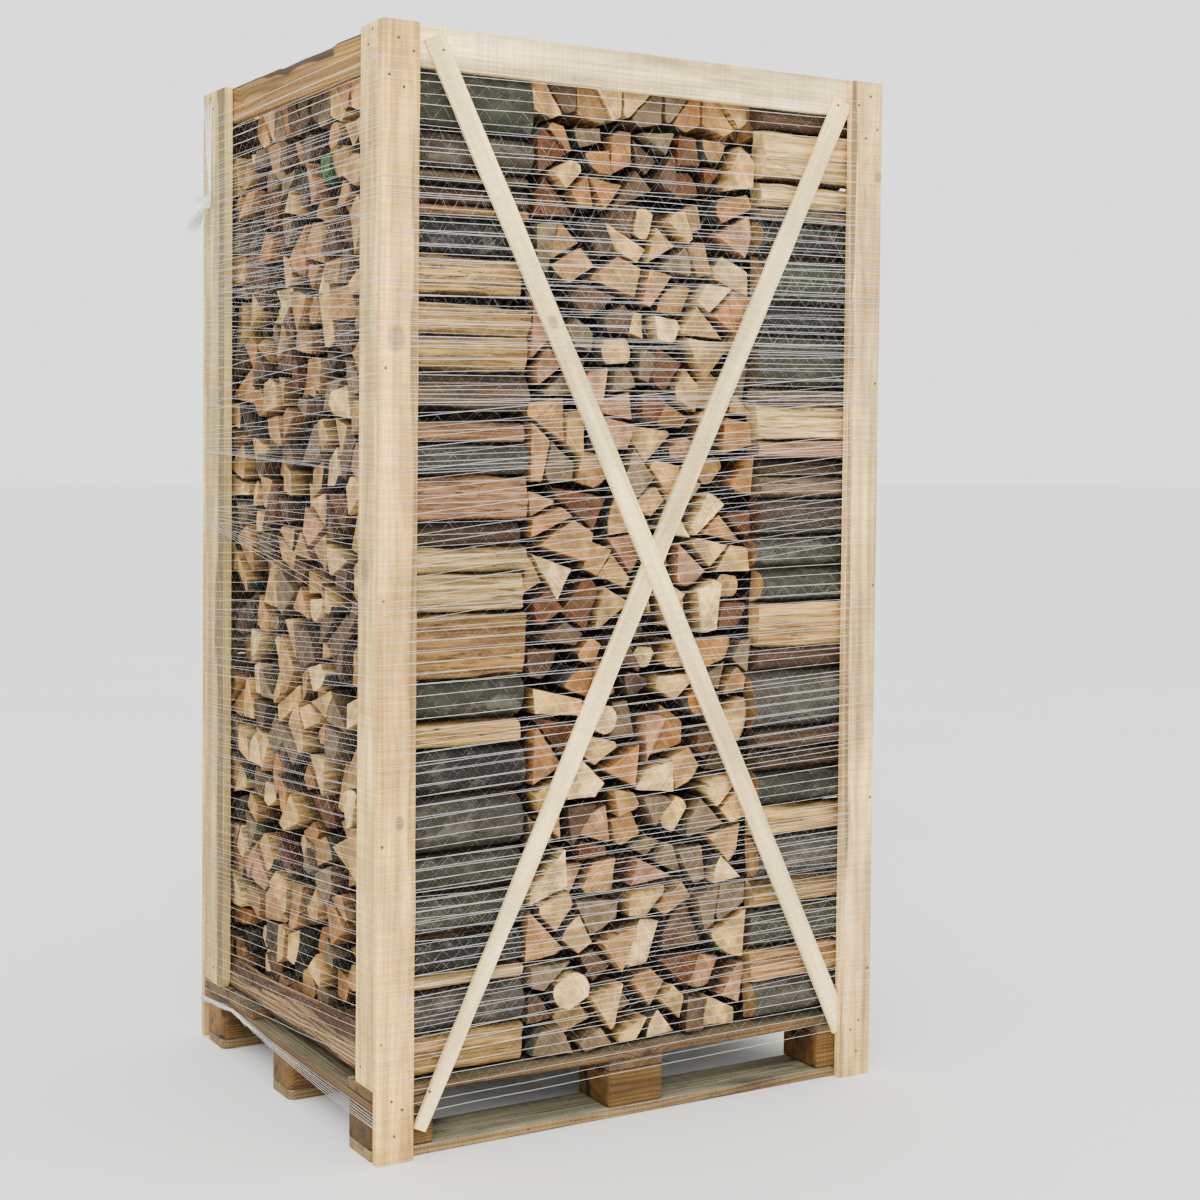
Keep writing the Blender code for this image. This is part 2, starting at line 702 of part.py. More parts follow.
def net(collection, helpers, mat):
    """One strand wound round the posts from the foot to the top, tied in a knot with two tufts."""
    reach_x = LENGTH / 2 + NET_REACH
    reach_y = WIDTH / 2 + NET_REACH
    corners = []
    for sign_x, sign_y in ((-1, -1), (1, -1), (1, 1), (-1, 1)):
        along_x = (sign_x * (reach_x - NET_CORNER), sign_y * reach_y)
        along_y = (sign_x * reach_x, sign_y * (reach_y - NET_CORNER))
        corners.extend((along_y, along_x) if sign_x * sign_y > 0 else (along_x, along_y))
    start = corners.index((-reach_x, -(reach_y - NET_CORNER)))
    round_trip = corners[start:] + corners[:start]
    lengths = [math.dist(round_trip[i], round_trip[(i + 1) % 8]) for i in range(8)]
    perimeter = sum(lengths)
    curve = bpy.data.curves.new("net strand", "CURVE")
    curve.dimensions = "3D"
    curve.bevel_depth = STRAND_RADIUS
    curve.bevel_resolution = 0
    curve.use_fill_caps = True
    points = []
    for turn in range(NET_TURNS):
        walked = 0.0
        for corner, length in zip(round_trip, lengths):
            share = (turn + walked / perimeter) / NET_TURNS
            points.append((*corner, NET_BOTTOM + (NET_TOP - NET_BOTTOM) * share))
            walked += length
    spline = curve.splines.new("POLY")
    spline.points.add(len(points) - 1)
    for target, point in zip(spline.points, points):
        target.co = (*point, 1.0)
    guide = bpy.data.objects.new("net strand", curve)
    bpy.context.scene.collection.objects.link(guide)
    bpy.context.view_layer.update()
    graph = bpy.context.evaluated_depsgraph_get()
    mesh = bpy.data.meshes.new_from_object(guide.evaluated_get(graph))
    bpy.data.objects.remove(guide, do_unlink=True)
    bm = bmesh.new()
    bm.from_mesh(mesh)
    bpy.data.meshes.remove(mesh)
    bmesh.ops.remove_doubles(bm, verts=bm.verts, dist=WELD)
    bmesh.ops.recalc_face_normals(bm, faces=bm.faces)
    obj = object_from_bmesh(bm, "net", collection, mat)
    levels = [height for x, _, height in points if x < -LENGTH / 2]
    strand_height = min(levels, key=lambda height: abs(height - KNOT_HEIGHT))
    knot = Vector((*KNOT_PLACE, strand_height))
    scale = Matrix.Diagonal((*KNOT_RADII, 1.0))
    bm = bmesh.new()
    bmesh.ops.create_icosphere(bm, subdivisions=1, radius=1.0, matrix=Matrix.Translation(knot) @ scale)
    add_to_net(obj, bm, "knot", helpers, mat)
    add_to_net(obj, tuft(knot, LONG_TUFT, LONG_TUFT_RADIUS), "long tuft", helpers, mat)
    add_to_net(obj, tuft(knot, SHORT_TUFT, SHORT_TUFT_RADIUS), "short tuft", helpers, mat)


def tuft(knot, way, end_radius):
    """Cone that flares from the knot to a tuft's frayed end."""
    way = Vector(way)
    turn = way.to_track_quat("Z", "Y").to_matrix().to_4x4()
    place = Matrix.Translation(knot + way / 2) @ turn
    bm = bmesh.new()
    bmesh.ops.create_cone(
        bm,
        cap_ends=True,
        segments=TUFT_SIDES,
        radius1=TUFT_ROOT_RADIUS,
        radius2=end_radius,
        depth=way.length,
        matrix=place,
    )
    return bm


def add_to_net(net_object, bm, name, helpers, mat):
    """Fuse a lump of gathered threads to the net."""
    tool = object_from_bmesh(bm, name, helpers, mat)
    tool.hide_render = True
    tool.display_type = "WIRE"
    union = net_object.modifiers.new(name, "BOOLEAN")
    union.operation = "UNION"
    union.solver = "EXACT"
    union.object = tool


def pallet(collection, wood, weathered):
    """Four-way pallet: skids along X, blocks, cross boards along Y, deck boards along X."""
    for row, y_range in SKID_ROWS.items():
        board(f"skid_{row}", (-LENGTH / 2, LENGTH / 2), y_range, (0, SKID_THICKNESS), collection, weathered)
        for place, x_range in CROSS_ROWS.items():
            z_range = (SKID_THICKNESS + GAP, BLOCK_TOP)
            board(f"block_{row}_{place}", x_range, y_range, z_range, collection, wood)
    for place, x_range in CROSS_ROWS.items():
        y_range = (SKID_ROWS["front"][0], INNER_Y - GAP)
        board(f"cross_board_{place}", x_range, y_range, (BLOCK_TOP + GAP, CROSS_TOP), collection, wood)
    for index, (low_y, high_y, reach) in enumerate(DECK_ROWS, start=1):
        z_range = (CROSS_TOP + GAP, DECK_TOP)
        board(f"deck_board_{index}", (-reach, reach), (low_y, high_y), z_range, collection, weathered)


def posts(collection, mat):
    """Four corner posts, each an outer board down to the floor and a side board down to the deck."""
    for (depth, place), drop in POST_DROPS.items():
        sign_x = -1 if place == "left" else 1
        sign_y = -1 if depth == "front" else 1
        top = HEIGHT - drop
        outer_x = sorted((sign_x * LENGTH / 2, sign_x * (LENGTH / 2 - BOARD_WIDTH)))
        outer_y = sorted((sign_y * WIDTH / 2, sign_y * INNER_Y))
        name = f"post_{depth}_{place}"
        board(f"{name}_{depth}_board", outer_x, outer_y, (0, top), collection, mat)
        wide = (depth, place) == ("back", "left")
        width = WIDE_SIDE_BOARD if wide else BOARD_WIDTH
        chip = WIDE_BOARD_CHIP if wide else FOOT_CHIP
        low, high = sorted((sign_y * (INNER_Y - GAP), sign_y * (INNER_Y - GAP - width)))
        outline = [
            (low + chip, LOG_BOTTOM),
            (high, LOG_BOTTOM),
            (high, top),
            (low, top),
            (low, LOG_BOTTOM + CHIP_STEEPNESS * chip),
        ]
        middle = sign_x * (LENGTH / 2 - BOARD_THICKNESS / 2)
        flat_piece(f"{name}_side_board", outline, BOARD_THICKNESS, facing_x(middle), collection, mat)


def rails(collection, mat, rough):
    """Top rails inside the posts on all four sides, and a low rail at each short side."""
    z_range = (HEIGHT - TOP_RAIL_HEIGHT, HEIGHT - TOP_RAIL_DROP)
    for name, sign in (("front", -1), ("back", 1)):
        y_range = sorted((sign * (INNER_Y - GAP), sign * (INNER_Y - GAP - BOARD_THICKNESS)))
        board(f"top_rail_{name}", (-INNER_X + GAP, INNER_X - GAP), y_range, z_range, collection, mat)
    reach = INNER_Y - 2 * GAP - BOARD_THICKNESS
    for name, sign in (("left", -1), ("right", 1)):
        x_range = sorted((sign * (INNER_X - GAP), sign * (INNER_X - GAP - BOARD_THICKNESS)))
        board(f"top_rail_{name}", x_range, (-reach, reach), z_range, collection, mat)
        low_rail(f"low_rail_{name}", sign, collection, rough)


def main():
    parts, helpers = clear_scene()
    pine = material("Pine boards", (0.600, 0.420, 0.250), 0.75)
    rough = material("Rough slab board", (0.340, 0.200, 0.120), 0.85)
    pallet_wood = material("Pallet wood", (0.400, 0.250, 0.110), 0.80)
    weathered = material("Weathered boards", (0.230, 0.200, 0.130), 0.90)
    cream = material("Cream laths", (0.720, 0.560, 0.330), 0.70)
    beech = material("Split beech", (0.300, 0.190, 0.105), 0.85)
    knitted = material("Knitted net", (0.800, 0.820, 0.800), 0.55)
    pallet(parts, pallet_wood, weathered)
    posts(parts, pine)
    rails(parts, pine, rough)
    bow = LATH_THICKNESS + GAP
    for name, side in (("front", -1), ("back", 1)):
        lath(f"lath_{name}_falling", FALLING_LATH, LATH_WIDTH, bow, side, parts, cream)
        lath(f"lath_{name}_rising", RISING_LATH, LATH_FOOT_WIDTH, 0.0, side, parts, cream)
    outer_column("logs_left", -1, LEFT_SEED, LEFT_FRONT_LOGS, LEFT_COLUMN_END, parts, helpers, beech)
    outer_column("logs_right", 1, RIGHT_SEED, RIGHT_FRONT_LOGS, RIGHT_COLUMN_END, parts, helpers, beech)
    middle_column(MIDDLE_SEED, parts, helpers, beech)
    net(parts, helpers, knitted)


main()
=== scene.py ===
"""Tall crate of split beech firewood on a four-way pallet, wrapped in a knitted net.

Metres, +Z up. X runs along the long side and the braced front faces -Y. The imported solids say
where everything is: boards take their boxes, and the logs repeat the layout of the log columns
with finer splits.
"""

import logging
import math
from dataclasses import dataclass
from enum import Enum
from random import Random

import bpy
import numpy as np
from mathutils import Matrix, Vector


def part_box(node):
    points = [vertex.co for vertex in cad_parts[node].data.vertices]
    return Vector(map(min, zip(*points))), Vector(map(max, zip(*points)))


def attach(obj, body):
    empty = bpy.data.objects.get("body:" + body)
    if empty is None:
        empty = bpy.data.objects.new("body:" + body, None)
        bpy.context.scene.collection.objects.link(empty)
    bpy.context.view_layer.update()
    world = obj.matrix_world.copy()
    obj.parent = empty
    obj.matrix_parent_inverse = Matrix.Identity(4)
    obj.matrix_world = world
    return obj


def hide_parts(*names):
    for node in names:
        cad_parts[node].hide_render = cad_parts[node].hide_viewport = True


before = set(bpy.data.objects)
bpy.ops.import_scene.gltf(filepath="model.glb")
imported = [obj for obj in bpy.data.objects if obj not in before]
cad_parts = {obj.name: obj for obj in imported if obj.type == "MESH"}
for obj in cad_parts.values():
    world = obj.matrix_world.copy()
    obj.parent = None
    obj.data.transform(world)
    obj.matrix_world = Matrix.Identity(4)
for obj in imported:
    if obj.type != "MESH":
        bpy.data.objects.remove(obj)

Array = np.ndarray
Colour = tuple[float, float, float]
Place = tuple[float, float, float]
Pair = tuple[float, float]
Generator = np.random.Generator
Material = bpy.types.Material
log = logging.getLogger("firewood crate")
UP = np.array([0.0, 0.0, 1.0])
NOWHERE = (99.0, 99.0, 99.0)

# Crate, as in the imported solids
LENGTH = 1.200
WIDTH = 1.000
HEIGHT = 2.200
BOARD_WIDTH = 0.082
BOARD_THICKNESS = 0.021
TOP_RAIL_HEIGHT = 0.080
LOW_RAIL_TOP = (0.241, 0.199)
GAP = 0.0003
HALF_X = LENGTH / 2
HALF_Y = WIDTH / 2
INNER_Y = HALF_Y - BOARD_THICKNESS
DECK_TOP = 0.140

# Log columns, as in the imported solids
LOG_REACH_X = 0.577
LOG_REACH_Y = 0.4765
LOG_BOTTOM = DECK_TOP + GAP
CORE_TOP = 2.080
STACK_TOP = CORE_TOP - 0.030
STACK_FOOT = 0.004
LEFT_COLUMN_END = -0.2560
RIGHT_COLUMN_END = 0.2940
END_HALF = LOG_REACH_Y - 0.0565
RAIL_CLEARANCE = 0.0035
BETWEEN_RAILS = (max(LOW_RAIL_TOP) + RAIL_CLEARANCE, HEIGHT - TOP_RAIL_HEIGHT)
SMALLEST_END = 0.0048
SEEN_SPACING = 0.150
HIDDEN_SPACING = 0.220
STUB = 0.150
LEFT_SEED = 110
RIGHT_SEED = 210
MIDDLE_SEED = 310

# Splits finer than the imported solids
PACKED_LARGEST = 0.0360
FINE_SMALLEST = 0.0024
END_LARGEST = 0.0104
FRONT_LARGEST = 0.0108
HIDDEN_LARGEST = 0.0135
SHORTEST_SIDE = 0.0004

# Logs that are seen side on
SIDE_LOG_DEPTH = 0.049
FRONT_SKIN = 0.007
BACK_TOUCH = 0.0065


def linear(red: int, green: int, blue: int) -> Colour:
    """Linear colour of an sRGB one.

    Args:
        red: Red from 0 to 255.
        green: Green likewise.
        blue: Blue likewise.

    Returns:
        Each channel c / 255 put through ((c + 0.055) / 1.055) ** 2.4, or c / 12.92 when dark.
    """
    shares = [channel / 255 for channel in (red, green, blue)]
    return tuple(
        share / 12.92 if share < 0.04045 else ((share + 0.055) / 1.055) ** 2.4 for share in shares
    )


class Tone(Enum):
    """Colour of a log's wood or bark."""

    CREAM = linear(216, 178, 110)
    BEIGE = linear(194, 152, 84)
    TAN = linear(162, 120, 64)
    PINK_TAN = linear(166, 120, 80)
    ORANGE = linear(154, 104, 50)
    RED_BROWN = linear(84, 46, 18)
    BROWN = linear(78, 57, 37)
    GREY_BROWN = linear(110, 91, 64)
    DARK_WOOD = linear(50, 40, 29)
    MOSS = linear(58, 58, 46)
    ASH = linear(72, 68, 59)
    SOOT = linear(42, 39, 34)
    UMBER = linear(64, 52, 42)


CREAM, BEIGE, TAN, PINK_TAN, ORANGE, RED_BROWN, BROWN, GREY_BROWN, _, *BARKS = Tone
MOSS, ASH, SOOT, UMBER = BARKS
WOOD_TONES = tuple(zip(Tone, (0.13, 0.20, 0.18, 0.06, 0.10, 0.06, 0.09, 0.14, 0.04)))
SIDE_WOOD_TONES = tuple(zip(Tone, (0.06, 0.24, 0.22, 0.07, 0.06, 0.07, 0.14, 0.11, 0.03)))
BARK_TONES = tuple(zip(BARKS, (0.35, 0.25, 0.22, 0.18)))
GREEN_PAINT = linear(46, 84, 46)
PLAIN = (1.0, 1.0, 1.0)


def dimmed(colour: Colour, light: float) -> Colour:
    """Colour with each channel times a number."""
    return tuple(channel * light for channel in colour)


def pick_tone(rng: Random, tones: tuple[tuple[Tone, float], ...]) -> Colour:
    """Draw a tone by its share and brighten or darken it a little.

    Args:
        rng: Source of the draws.
        tones: Tones with their shares.

    Returns:
        Linear colour.
    """
    tone = rng.choices([tone for tone, _ in tones], [share for _, share in tones])[0]
    return dimmed(tone.value, rng.uniform(0.86, 1.14))


def unit(vectors: Array) -> Array:
    """Vectors of length 1 along the last axis: v / |v|."""
    return vectors / (np.linalg.norm(vectors, axis=-1, keepdims=True) + 1e-9)


def plain_loops(world: Array) -> Array:
    """Loops whose grain runs with the world, with no darkening."""
    return np.concatenate([world, world, np.zeros((*world.shape[:2], 1))], axis=-1)


def along_loops(section: Array, t: Array) -> Array:
    """Points of shape (rows, n, 2) with each row's own number as the third."""
    return np.concatenate([section, np.broadcast_to(t[:, None, None], (*section.shape[:2], 1))], axis=-1)


@dataclass(frozen=True)
class Ripple:
    """Gentle unevenness over space.

    The height at a point is the mean of sine waves. The phase of each wave is the point, divided
    by the wavelengths, taken along a random direction, plus a random start.
    """

    seed: int
    wavelengths: tuple[float, ...]
    waves: int = 7

    def heights(self, points: Array) -> Array:
        """Height at every point.

        Args:
            points: Points of shape (..., n), with a wavelength for each of the n numbers.

        Returns:
            Heights from about -1 to 1.
        """
        rng = np.random.default_rng(self.seed)
        turns = rng.normal(0.0, 1.0, (self.waves, len(self.wavelengths)))
        turns *= rng.uniform(0.6, 1.7, (self.waves, 1)) / np.linalg.norm(turns, axis=1, keepdims=True)
        starts = rng.uniform(0.0, 2 * np.pi, self.waves)
        phases = 2 * np.pi * (points / np.array(self.wavelengths)) @ turns.T + starts
        return np.clip(np.sin(phases).mean(axis=-1) * 1.7, -1.0, 1.0)


class Look(Enum):
    """Place of a finish among the material slots of a log piece."""

    END = 0
    SPLIT = 1
    BARK = 2


CHANNELS = 7


def new_object(name: str, data: bpy.types.ID) -> bpy.types.Object:
    """Link an object of some data to the scene.

    Args:
        name: Name of the object.
        data: Its mesh, light or camera.

    Returns:
        The object.
    """
    made = bpy.data.objects.new(name, data)
    bpy.context.scene.collection.objects.link(made)
    return made


class Shells:
    """Closed surfaces gathered in one mesh.

    A surface comes as loops of shape (rows, n, 7): place in the world, place in the piece's own
    grain, and a darkening, which is the wane on a board and painted shade in the recesses on a
    log. Each of its ends is closed by a fan to the mean of the loop.
    """

    def __init__(self) -> None:
        """Start with no surface."""
        self.vertices: list[Array] = []
        self.quads: list[Array] = []
        self.triangles: list[Array] = []
        self.quad_looks: list[Array] = []
        self.triangle_looks: list[Array] = []
        self.colours: list[Array] = []
        self.count = 0

    def add(
        self, loops: Array, looks: Array | int = 0,
        wood: Colour = PLAIN, bark: Colour = PLAIN, facts: Place = (1.0, 0.5, 0.5),
    ) -> None:
        """Add one closed surface.

        Args:
            loops: Points of shape (rows, n, 7).
            looks: Material slot of each face between loops, of shape (rows - 1, n), or one slot.
            wood: Colour of its wood.
            bark: Colour of its bark, or a dark mark's place in the grain of a board.
            facts: Radius out to the bark and two random shares, or another mark's place.
        """
        rows, count, _ = loops.shape
        tips = [loops[:1].mean(axis=1), loops[-1:].mean(axis=1)]
        points = np.concatenate([loops.reshape(-1, CHANNELS), *tips])
        row, step = np.meshgrid(np.arange(rows - 1), np.arange(count), indexing="ij")
        here = row * count + step
        ahead = row * count + (step + 1) % count
        quads = np.stack([here, ahead, ahead + count, here + count], axis=-1).reshape(-1, 4)
        tip = np.full(count, rows * count)
        first_fan = np.stack([ahead[0], here[0], tip], axis=-1)
        last_fan = np.stack([here[-1] + count, ahead[-1] + count, tip + 1], axis=-1)
        triangles = np.concatenate([first_fan, last_fan])
        # The sum of a . (b x c) is six times the volume, below 0 where the faces point inwards
        every = np.concatenate([quads[:, [0, 1, 2]], quads[:, [0, 2, 3]], triangles])
        a, b, c = (points[every[:, corner], :3] - points[0, :3] for corner in range(3))
        if np.einsum("ij,ij->", a, np.cross(b, c)) < 0:
            quads, triangles = quads[:, ::-1], triangles[:, ::-1]
        slots = np.broadcast_to(np.asarray(looks), (rows - 1, count)).reshape(-1)
        self.vertices.append(points)
        self.quads.append(quads + self.count)
        self.triangles.append(triangles + self.count)
        self.quad_looks.append(slots)
        self.triangle_looks.append(np.full(2 * count, int(slots[0])))
        self.colours.append(np.tile(np.array([*wood, *bark, *facts]), (len(points), 1)))
        self.count += len(points)

    def build(
        self, name: str, finishes: list[Material], slot: str, *nodes: str, sharp: float = 40.0
    ) -> None:
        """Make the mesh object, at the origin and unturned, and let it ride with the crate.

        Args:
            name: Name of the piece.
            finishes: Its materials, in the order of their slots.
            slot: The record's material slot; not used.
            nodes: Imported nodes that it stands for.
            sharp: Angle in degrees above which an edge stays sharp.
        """
        points = np.concatenate(self.vertices)
        quads = np.concatenate(self.quads)
        triangles = np.concatenate(self.triangles)
        mesh = bpy.data.meshes.new(name)
        mesh.vertices.add(len(points))
        mesh.vertices.foreach_set("co", points[:, :3].astype(np.float32).ravel())
        corners = np.concatenate([quads.ravel(), triangles.ravel()]).astype(np.int32)
        starts = np.concatenate([np.arange(len(quads)) * 4, quads.size + np.arange(len(triangles)) * 3])
        mesh.loops.add(len(corners))
        mesh.loops.foreach_set("vertex_index", corners)
        mesh.polygons.add(len(starts))
        mesh.polygons.foreach_set("loop_start", starts.astype(np.int32))
        looks = np.concatenate(self.quad_looks + self.triangle_looks).astype(np.int32)
        mesh.polygons.foreach_set("material_index", looks)
        for finish in finishes:
            mesh.materials.append(finish)
        columns = (points[:, 3:6], *np.split(np.concatenate(self.colours), 3, axis=1))
        for label, values in zip(("place", "wood", "bark", "facts"), columns):
            layer = mesh.attributes.new(label, "FLOAT_VECTOR", "POINT")
            layer.data.foreach_set("vector", values.astype(np.float32).ravel())
        # Darkening: the wane on a board, and painted shade in the recesses on a log
        wane_and_shade = mesh.attributes.new("wane_and_shade", "FLOAT", "POINT")
        wane_and_shade.data.foreach_set("value", points[:, 6].astype(np.float32))
        mesh.update(calc_edges=True)
        mesh.validate()
        mesh.shade_smooth()
        mesh.set_sharp_from_angle(angle=math.radians(sharp))
        piece = new_object(name, mesh)
        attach(piece, "root")
        if nodes:
            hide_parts(*nodes)
        log.info("%s: %d faces, in place of %s", name, len(starts), ", ".join(nodes) or "nothing")


# Shader expressions

Value = "Socket | float"
BLEND = {"data_type": "RGBA", "clamp_factor": True}


class Socket:
    """Output of a shader node that takes part in arithmetic."""

    def __init__(self, graph: "Graph", output: bpy.types.NodeSocket) -> None:
        """Wrap one output.

        Args:
            graph: The graph that the node is in.
            output: The node's output.
        """
        self.graph = graph
        self.output = output

    def __add__(self, other: Value) -> "Socket":
        """Sum."""
        return self.graph.maths("ADD", self, other)

    def __sub__(self, other: Value) -> "Socket":
        """Difference."""
        return self.graph.maths("SUBTRACT", self, other)

    def __rsub__(self, other: float) -> "Socket":
        """Difference with this one taken away."""
        return self.graph.maths("SUBTRACT", other, self)

    def __mul__(self, other: Value) -> "Socket":
        """Product."""
        return self.graph.maths("MULTIPLY", self, other)

    def __truediv__(self, other: Value) -> "Socket":
        """Quotient."""
        return self.graph.maths("DIVIDE", self, other)

    __radd__ = __add__
    __rmul__ = __mul__

    def between(self, low: float, high: float) -> "Socket":
        """Smooth step from 0 at low to 1 at high."""
        inputs = {"Value": self, "From Min": low, "From Max": high}
        return self.graph.node("ShaderNodeMapRange", {"interpolation_type": "SMOOTHSTEP"}, inputs)


class Graph:
    """Node tree of one material."""

    def __init__(self, name: str) -> None:
        """Start an empty tree.

        Args:
            name: Name of the material.
        """
        self.material = bpy.data.materials.new(name)
        self.material.use_nodes = True
        self.tree = self.material.node_tree
        self.tree.nodes.clear()

    def node(self, kind: str, settings: dict, inputs: dict, output: int | str = 0) -> Socket:
        """Add a node.

        Args:
            kind: Blender's name of the node's type.
            settings: Its properties, which are set first.
            inputs: Values or sockets for its inputs, by name or number.
            output: Which output to return.

        Returns:
            That output.
        """
        made = self.tree.nodes.new(kind)
        for key, value in settings.items():
            setattr(made, key, value)
        for key, value in inputs.items():
            if isinstance(value, Socket):
                self.tree.links.new(value.output, made.inputs[key])
            else:
                made.inputs[key].default_value = value
        return Socket(self, made.outputs[output])

    def maths(self, operation: str, *values: Value) -> Socket:
        """Math node on one or two values."""
        return self.node("ShaderNodeMath", {"operation": operation}, dict(enumerate(values)))

    def attribute(self, name: str, output: str = "Vector") -> Socket:
        """Attribute that the mesh carries."""
        return self.node("ShaderNodeAttribute", {"attribute_name": name}, {}, output)

    def parts(self, vector: Socket) -> tuple[Socket, ...]:
        """The three numbers of a vector."""
        first = self.node("ShaderNodeSeparateXYZ", {}, {0: vector})
        return tuple(Socket(self, output) for output in first.output.node.outputs)

    def vector(self, x: Value, y: Value, z: Value) -> Socket:
        """Vector of three numbers."""
        return self.node("ShaderNodeCombineXYZ", {}, {0: x, 1: y, 2: z})

    def scaled(self, vector: Socket, scale: Colour) -> Socket:
        """Vector times a fixed one, part by part."""
        return self.node("ShaderNodeVectorMath", {"operation": "MULTIPLY"}, {0: vector, 1: scale})

    def shaded(self, colour: Socket, light: Value) -> Socket:
        """Colour made lighter or darker by a number."""
        return self.node("ShaderNodeVectorMath", {"operation": "SCALE"}, {0: colour, "Scale": light})

    def stops(self, value: Socket) -> Socket:
        """Light of a number of stops: 2 to the power of the value."""
        return self.maths("POWER", 2.0, value)

    def noise(self, place: Socket, scale: Colour, detail: float = 2.0, rough: float = 0.5) -> Socket:
        """Noise from 0 to 1, with its own scale along each axis."""
        inputs = {"Vector": self.scaled(place, scale), "Scale": 1.0, "Detail": detail, "Roughness": rough}
        return self.node("ShaderNodeTexNoise", {}, inputs)

    def mix(self, share: Value, first: "Socket | Colour", second: "Socket | Colour") -> Socket:
        """Colour that turns from the first to the second."""
        ends = [end if isinstance(end, Socket) else (*end, 1.0) for end in (first, second)]
        return self.node("ShaderNodeMix", BLEND, {0: share, 6: ends[0], 7: ends[1]}, 2)

    def finish(
        self, colour: Socket, rough: float, height: Socket, depth: float, specular: float = 0.25
    ) -> Material:
        """Close the tree with a bumped Principled shader.

        Args:
            colour: Base colour.
            rough: Roughness.
            height: Relief from 0 to 1.
            depth: Depth of that relief in metres.
            specular: Specular level.

        Returns:
            The material.
        """
        bump = self.node("ShaderNodeBump", {}, {"Strength": 1.0, "Distance": depth, "Height": height})
        inputs = {"Base Color": colour, "Roughness": rough, "Normal": bump, "Specular IOR Level": specular}
        shader = self.node("ShaderNodeBsdfPrincipled", {}, inputs)
        surface = self.tree.nodes.new("ShaderNodeOutputMaterial").inputs["Surface"]
        self.tree.links.new(shader.output, surface)
        return self.material


@dataclass(frozen=True)
class EndGrain:
    """Sawn end of a log: growth rings, rays and drying cracks about the pith, faint saw marks."""

    name: str = "beech end grain"
    ring_width: float = 0.0046
    crack: Colour = linear(34, 24, 16)
    cambium: Colour = linear(48, 34, 22)

    def material(self) -> Material:
        """Build the material.

        Returns:
            The material.
        """
        g = Graph(self.name)
        place = g.attribute("place")
        x, y, _ = g.parts(place)
        bark_radius, chance, split = g.parts(g.attribute("facts"))
        radius = g.maths("SQRT", x * x + y * y)
        angle = g.maths("ARCTAN2", y, x)
        wobble = g.noise(place, (38.0, 38.0, 1.0), 3.0)
        rings = g.maths("SINE", radius * (2 * math.pi / self.ring_width) + wobble * 7.0)
        bands = g.noise(g.vector(radius, chance * 9.0, 0.0), (70.0, 1.0, 1.0), 2.0)
        rays = g.noise(g.vector(angle, radius, chance * 9.0), (42.0, 7.0, 1.0), 2.0)
        slant = x * 0.83 + y * 0.56
        saw = g.noise(g.vector(slant, chance * 9.0, x * 0.02), (420.0, 1.0, 1.0), 1.0)
        blotch = g.noise(place, (26.0, 26.0, 3.0), 3.0)
        spokes = g.node(
            "ShaderNodeTexVoronoi",
            {"voronoi_dimensions": "1D", "feature": "DISTANCE_TO_EDGE"},
            {"W": angle * 1.9 + chance * 50.0, "Scale": 1.0, "Randomness": 1.0},
        )
        opening = (spokes * (radius + 0.002)) / 0.0009
        cracked = (1 - opening.between(0.35, 1.3)) * blotch.between(0.38, 0.56) * split.between(0.35, 0.6)
        light = rings * 0.10 + bands.between(0.32, 0.68) * 0.35 + rays.between(0.34, 0.66) * 0.50
        light = light + saw.between(0.30, 0.70) * 0.50 + blotch.between(0.34, 0.66) * 0.85 - 1.10
        colour = g.shaded(g.attribute("wood"), g.stops(light))
        aged = g.noise(place, (15.0, 15.0, 2.0), 4.0, 0.62).between(0.44, 0.68)
        colour = g.mix(aged * 0.60, colour, linear(92, 76, 54))
        rim = (radius / bark_radius).between(0.945, 0.985)
        colour = g.mix(rim * 0.85, colour, self.cambium)
        colour = g.mix(cracked, colour, self.crack)
        height = rings * 0.06 + saw * 0.30 + rays * 0.22 + (1 - cracked) * 0.6
        return g.finish(colour, 0.82, height, 0.0009)


@dataclass(frozen=True)
class SplitFace:
    """Face split along the grain: long fibres, ray flecks, cracks, darker stains and painted shade."""

    name: str = "beech split face"
    painted_recess_shade: float = 0.86
    stain: Colour = linear(84, 62, 40)
    crack: Colour = linear(32, 23, 15)

    def material(self) -> Material:
        """Build the material.

        Returns:
            The material.
        """
        g = Graph(self.name)
        place = g.attribute("place")
        fibres = g.noise(place, (220.0, 220.0, 6.0), 3.0, 0.65)
        streaks = g.noise(place, (70.0, 70.0, 2.8), 3.0, 0.6).between(0.34, 0.66)
        lines = 1 - g.noise(place, (150.0, 150.0, 4.0), 4.0, 0.7).between(0.38, 0.54)
        # Painted shadow: short dark patches where ragged fibres would shade the face
        torn_fibre_shadow = g.noise(place, (120.0, 120.0, 9.0), 3.0, 0.6).between(0.52, 0.64)
        flecks = g.noise(place, (520.0, 520.0, 75.0), 1.0).between(0.62, 0.74)
        patches = g.noise(place, (9.0, 9.0, 5.0), 4.0, 0.6).between(0.50, 0.72)
        seam = g.maths("ABSOLUTE", g.noise(place, (95.0, 95.0, 2.2), 2.0) - 0.5)
        cracked = (1 - seam.between(0.002, 0.011)) * g.noise(place, (8.0, 8.0, 8.0), 1.0).between(0.5, 0.6)
        light = fibres * 1.5 + streaks * 0.9 - lines * 1.1 - torn_fibre_shadow * 0.6 - flecks * 0.3 - 0.95
        colour = g.shaded(g.attribute("wood"), g.stops(light))
        colour = g.mix(patches * 0.45, colour, self.stain)
        colour = g.mix(cracked * 0.9, colour, self.crack)
        # Painted shade: darker behind a log's end and front, as in the recesses between logs
        colour = g.shaded(colour, 1 - g.attribute("wane_and_shade", "Fac") * self.painted_recess_shade)
        height = fibres * 0.50 + streaks * 0.45 - torn_fibre_shadow * 0.25 + (1 - cracked) * 0.5
        return g.finish(colour, 0.80, height, 0.0042)


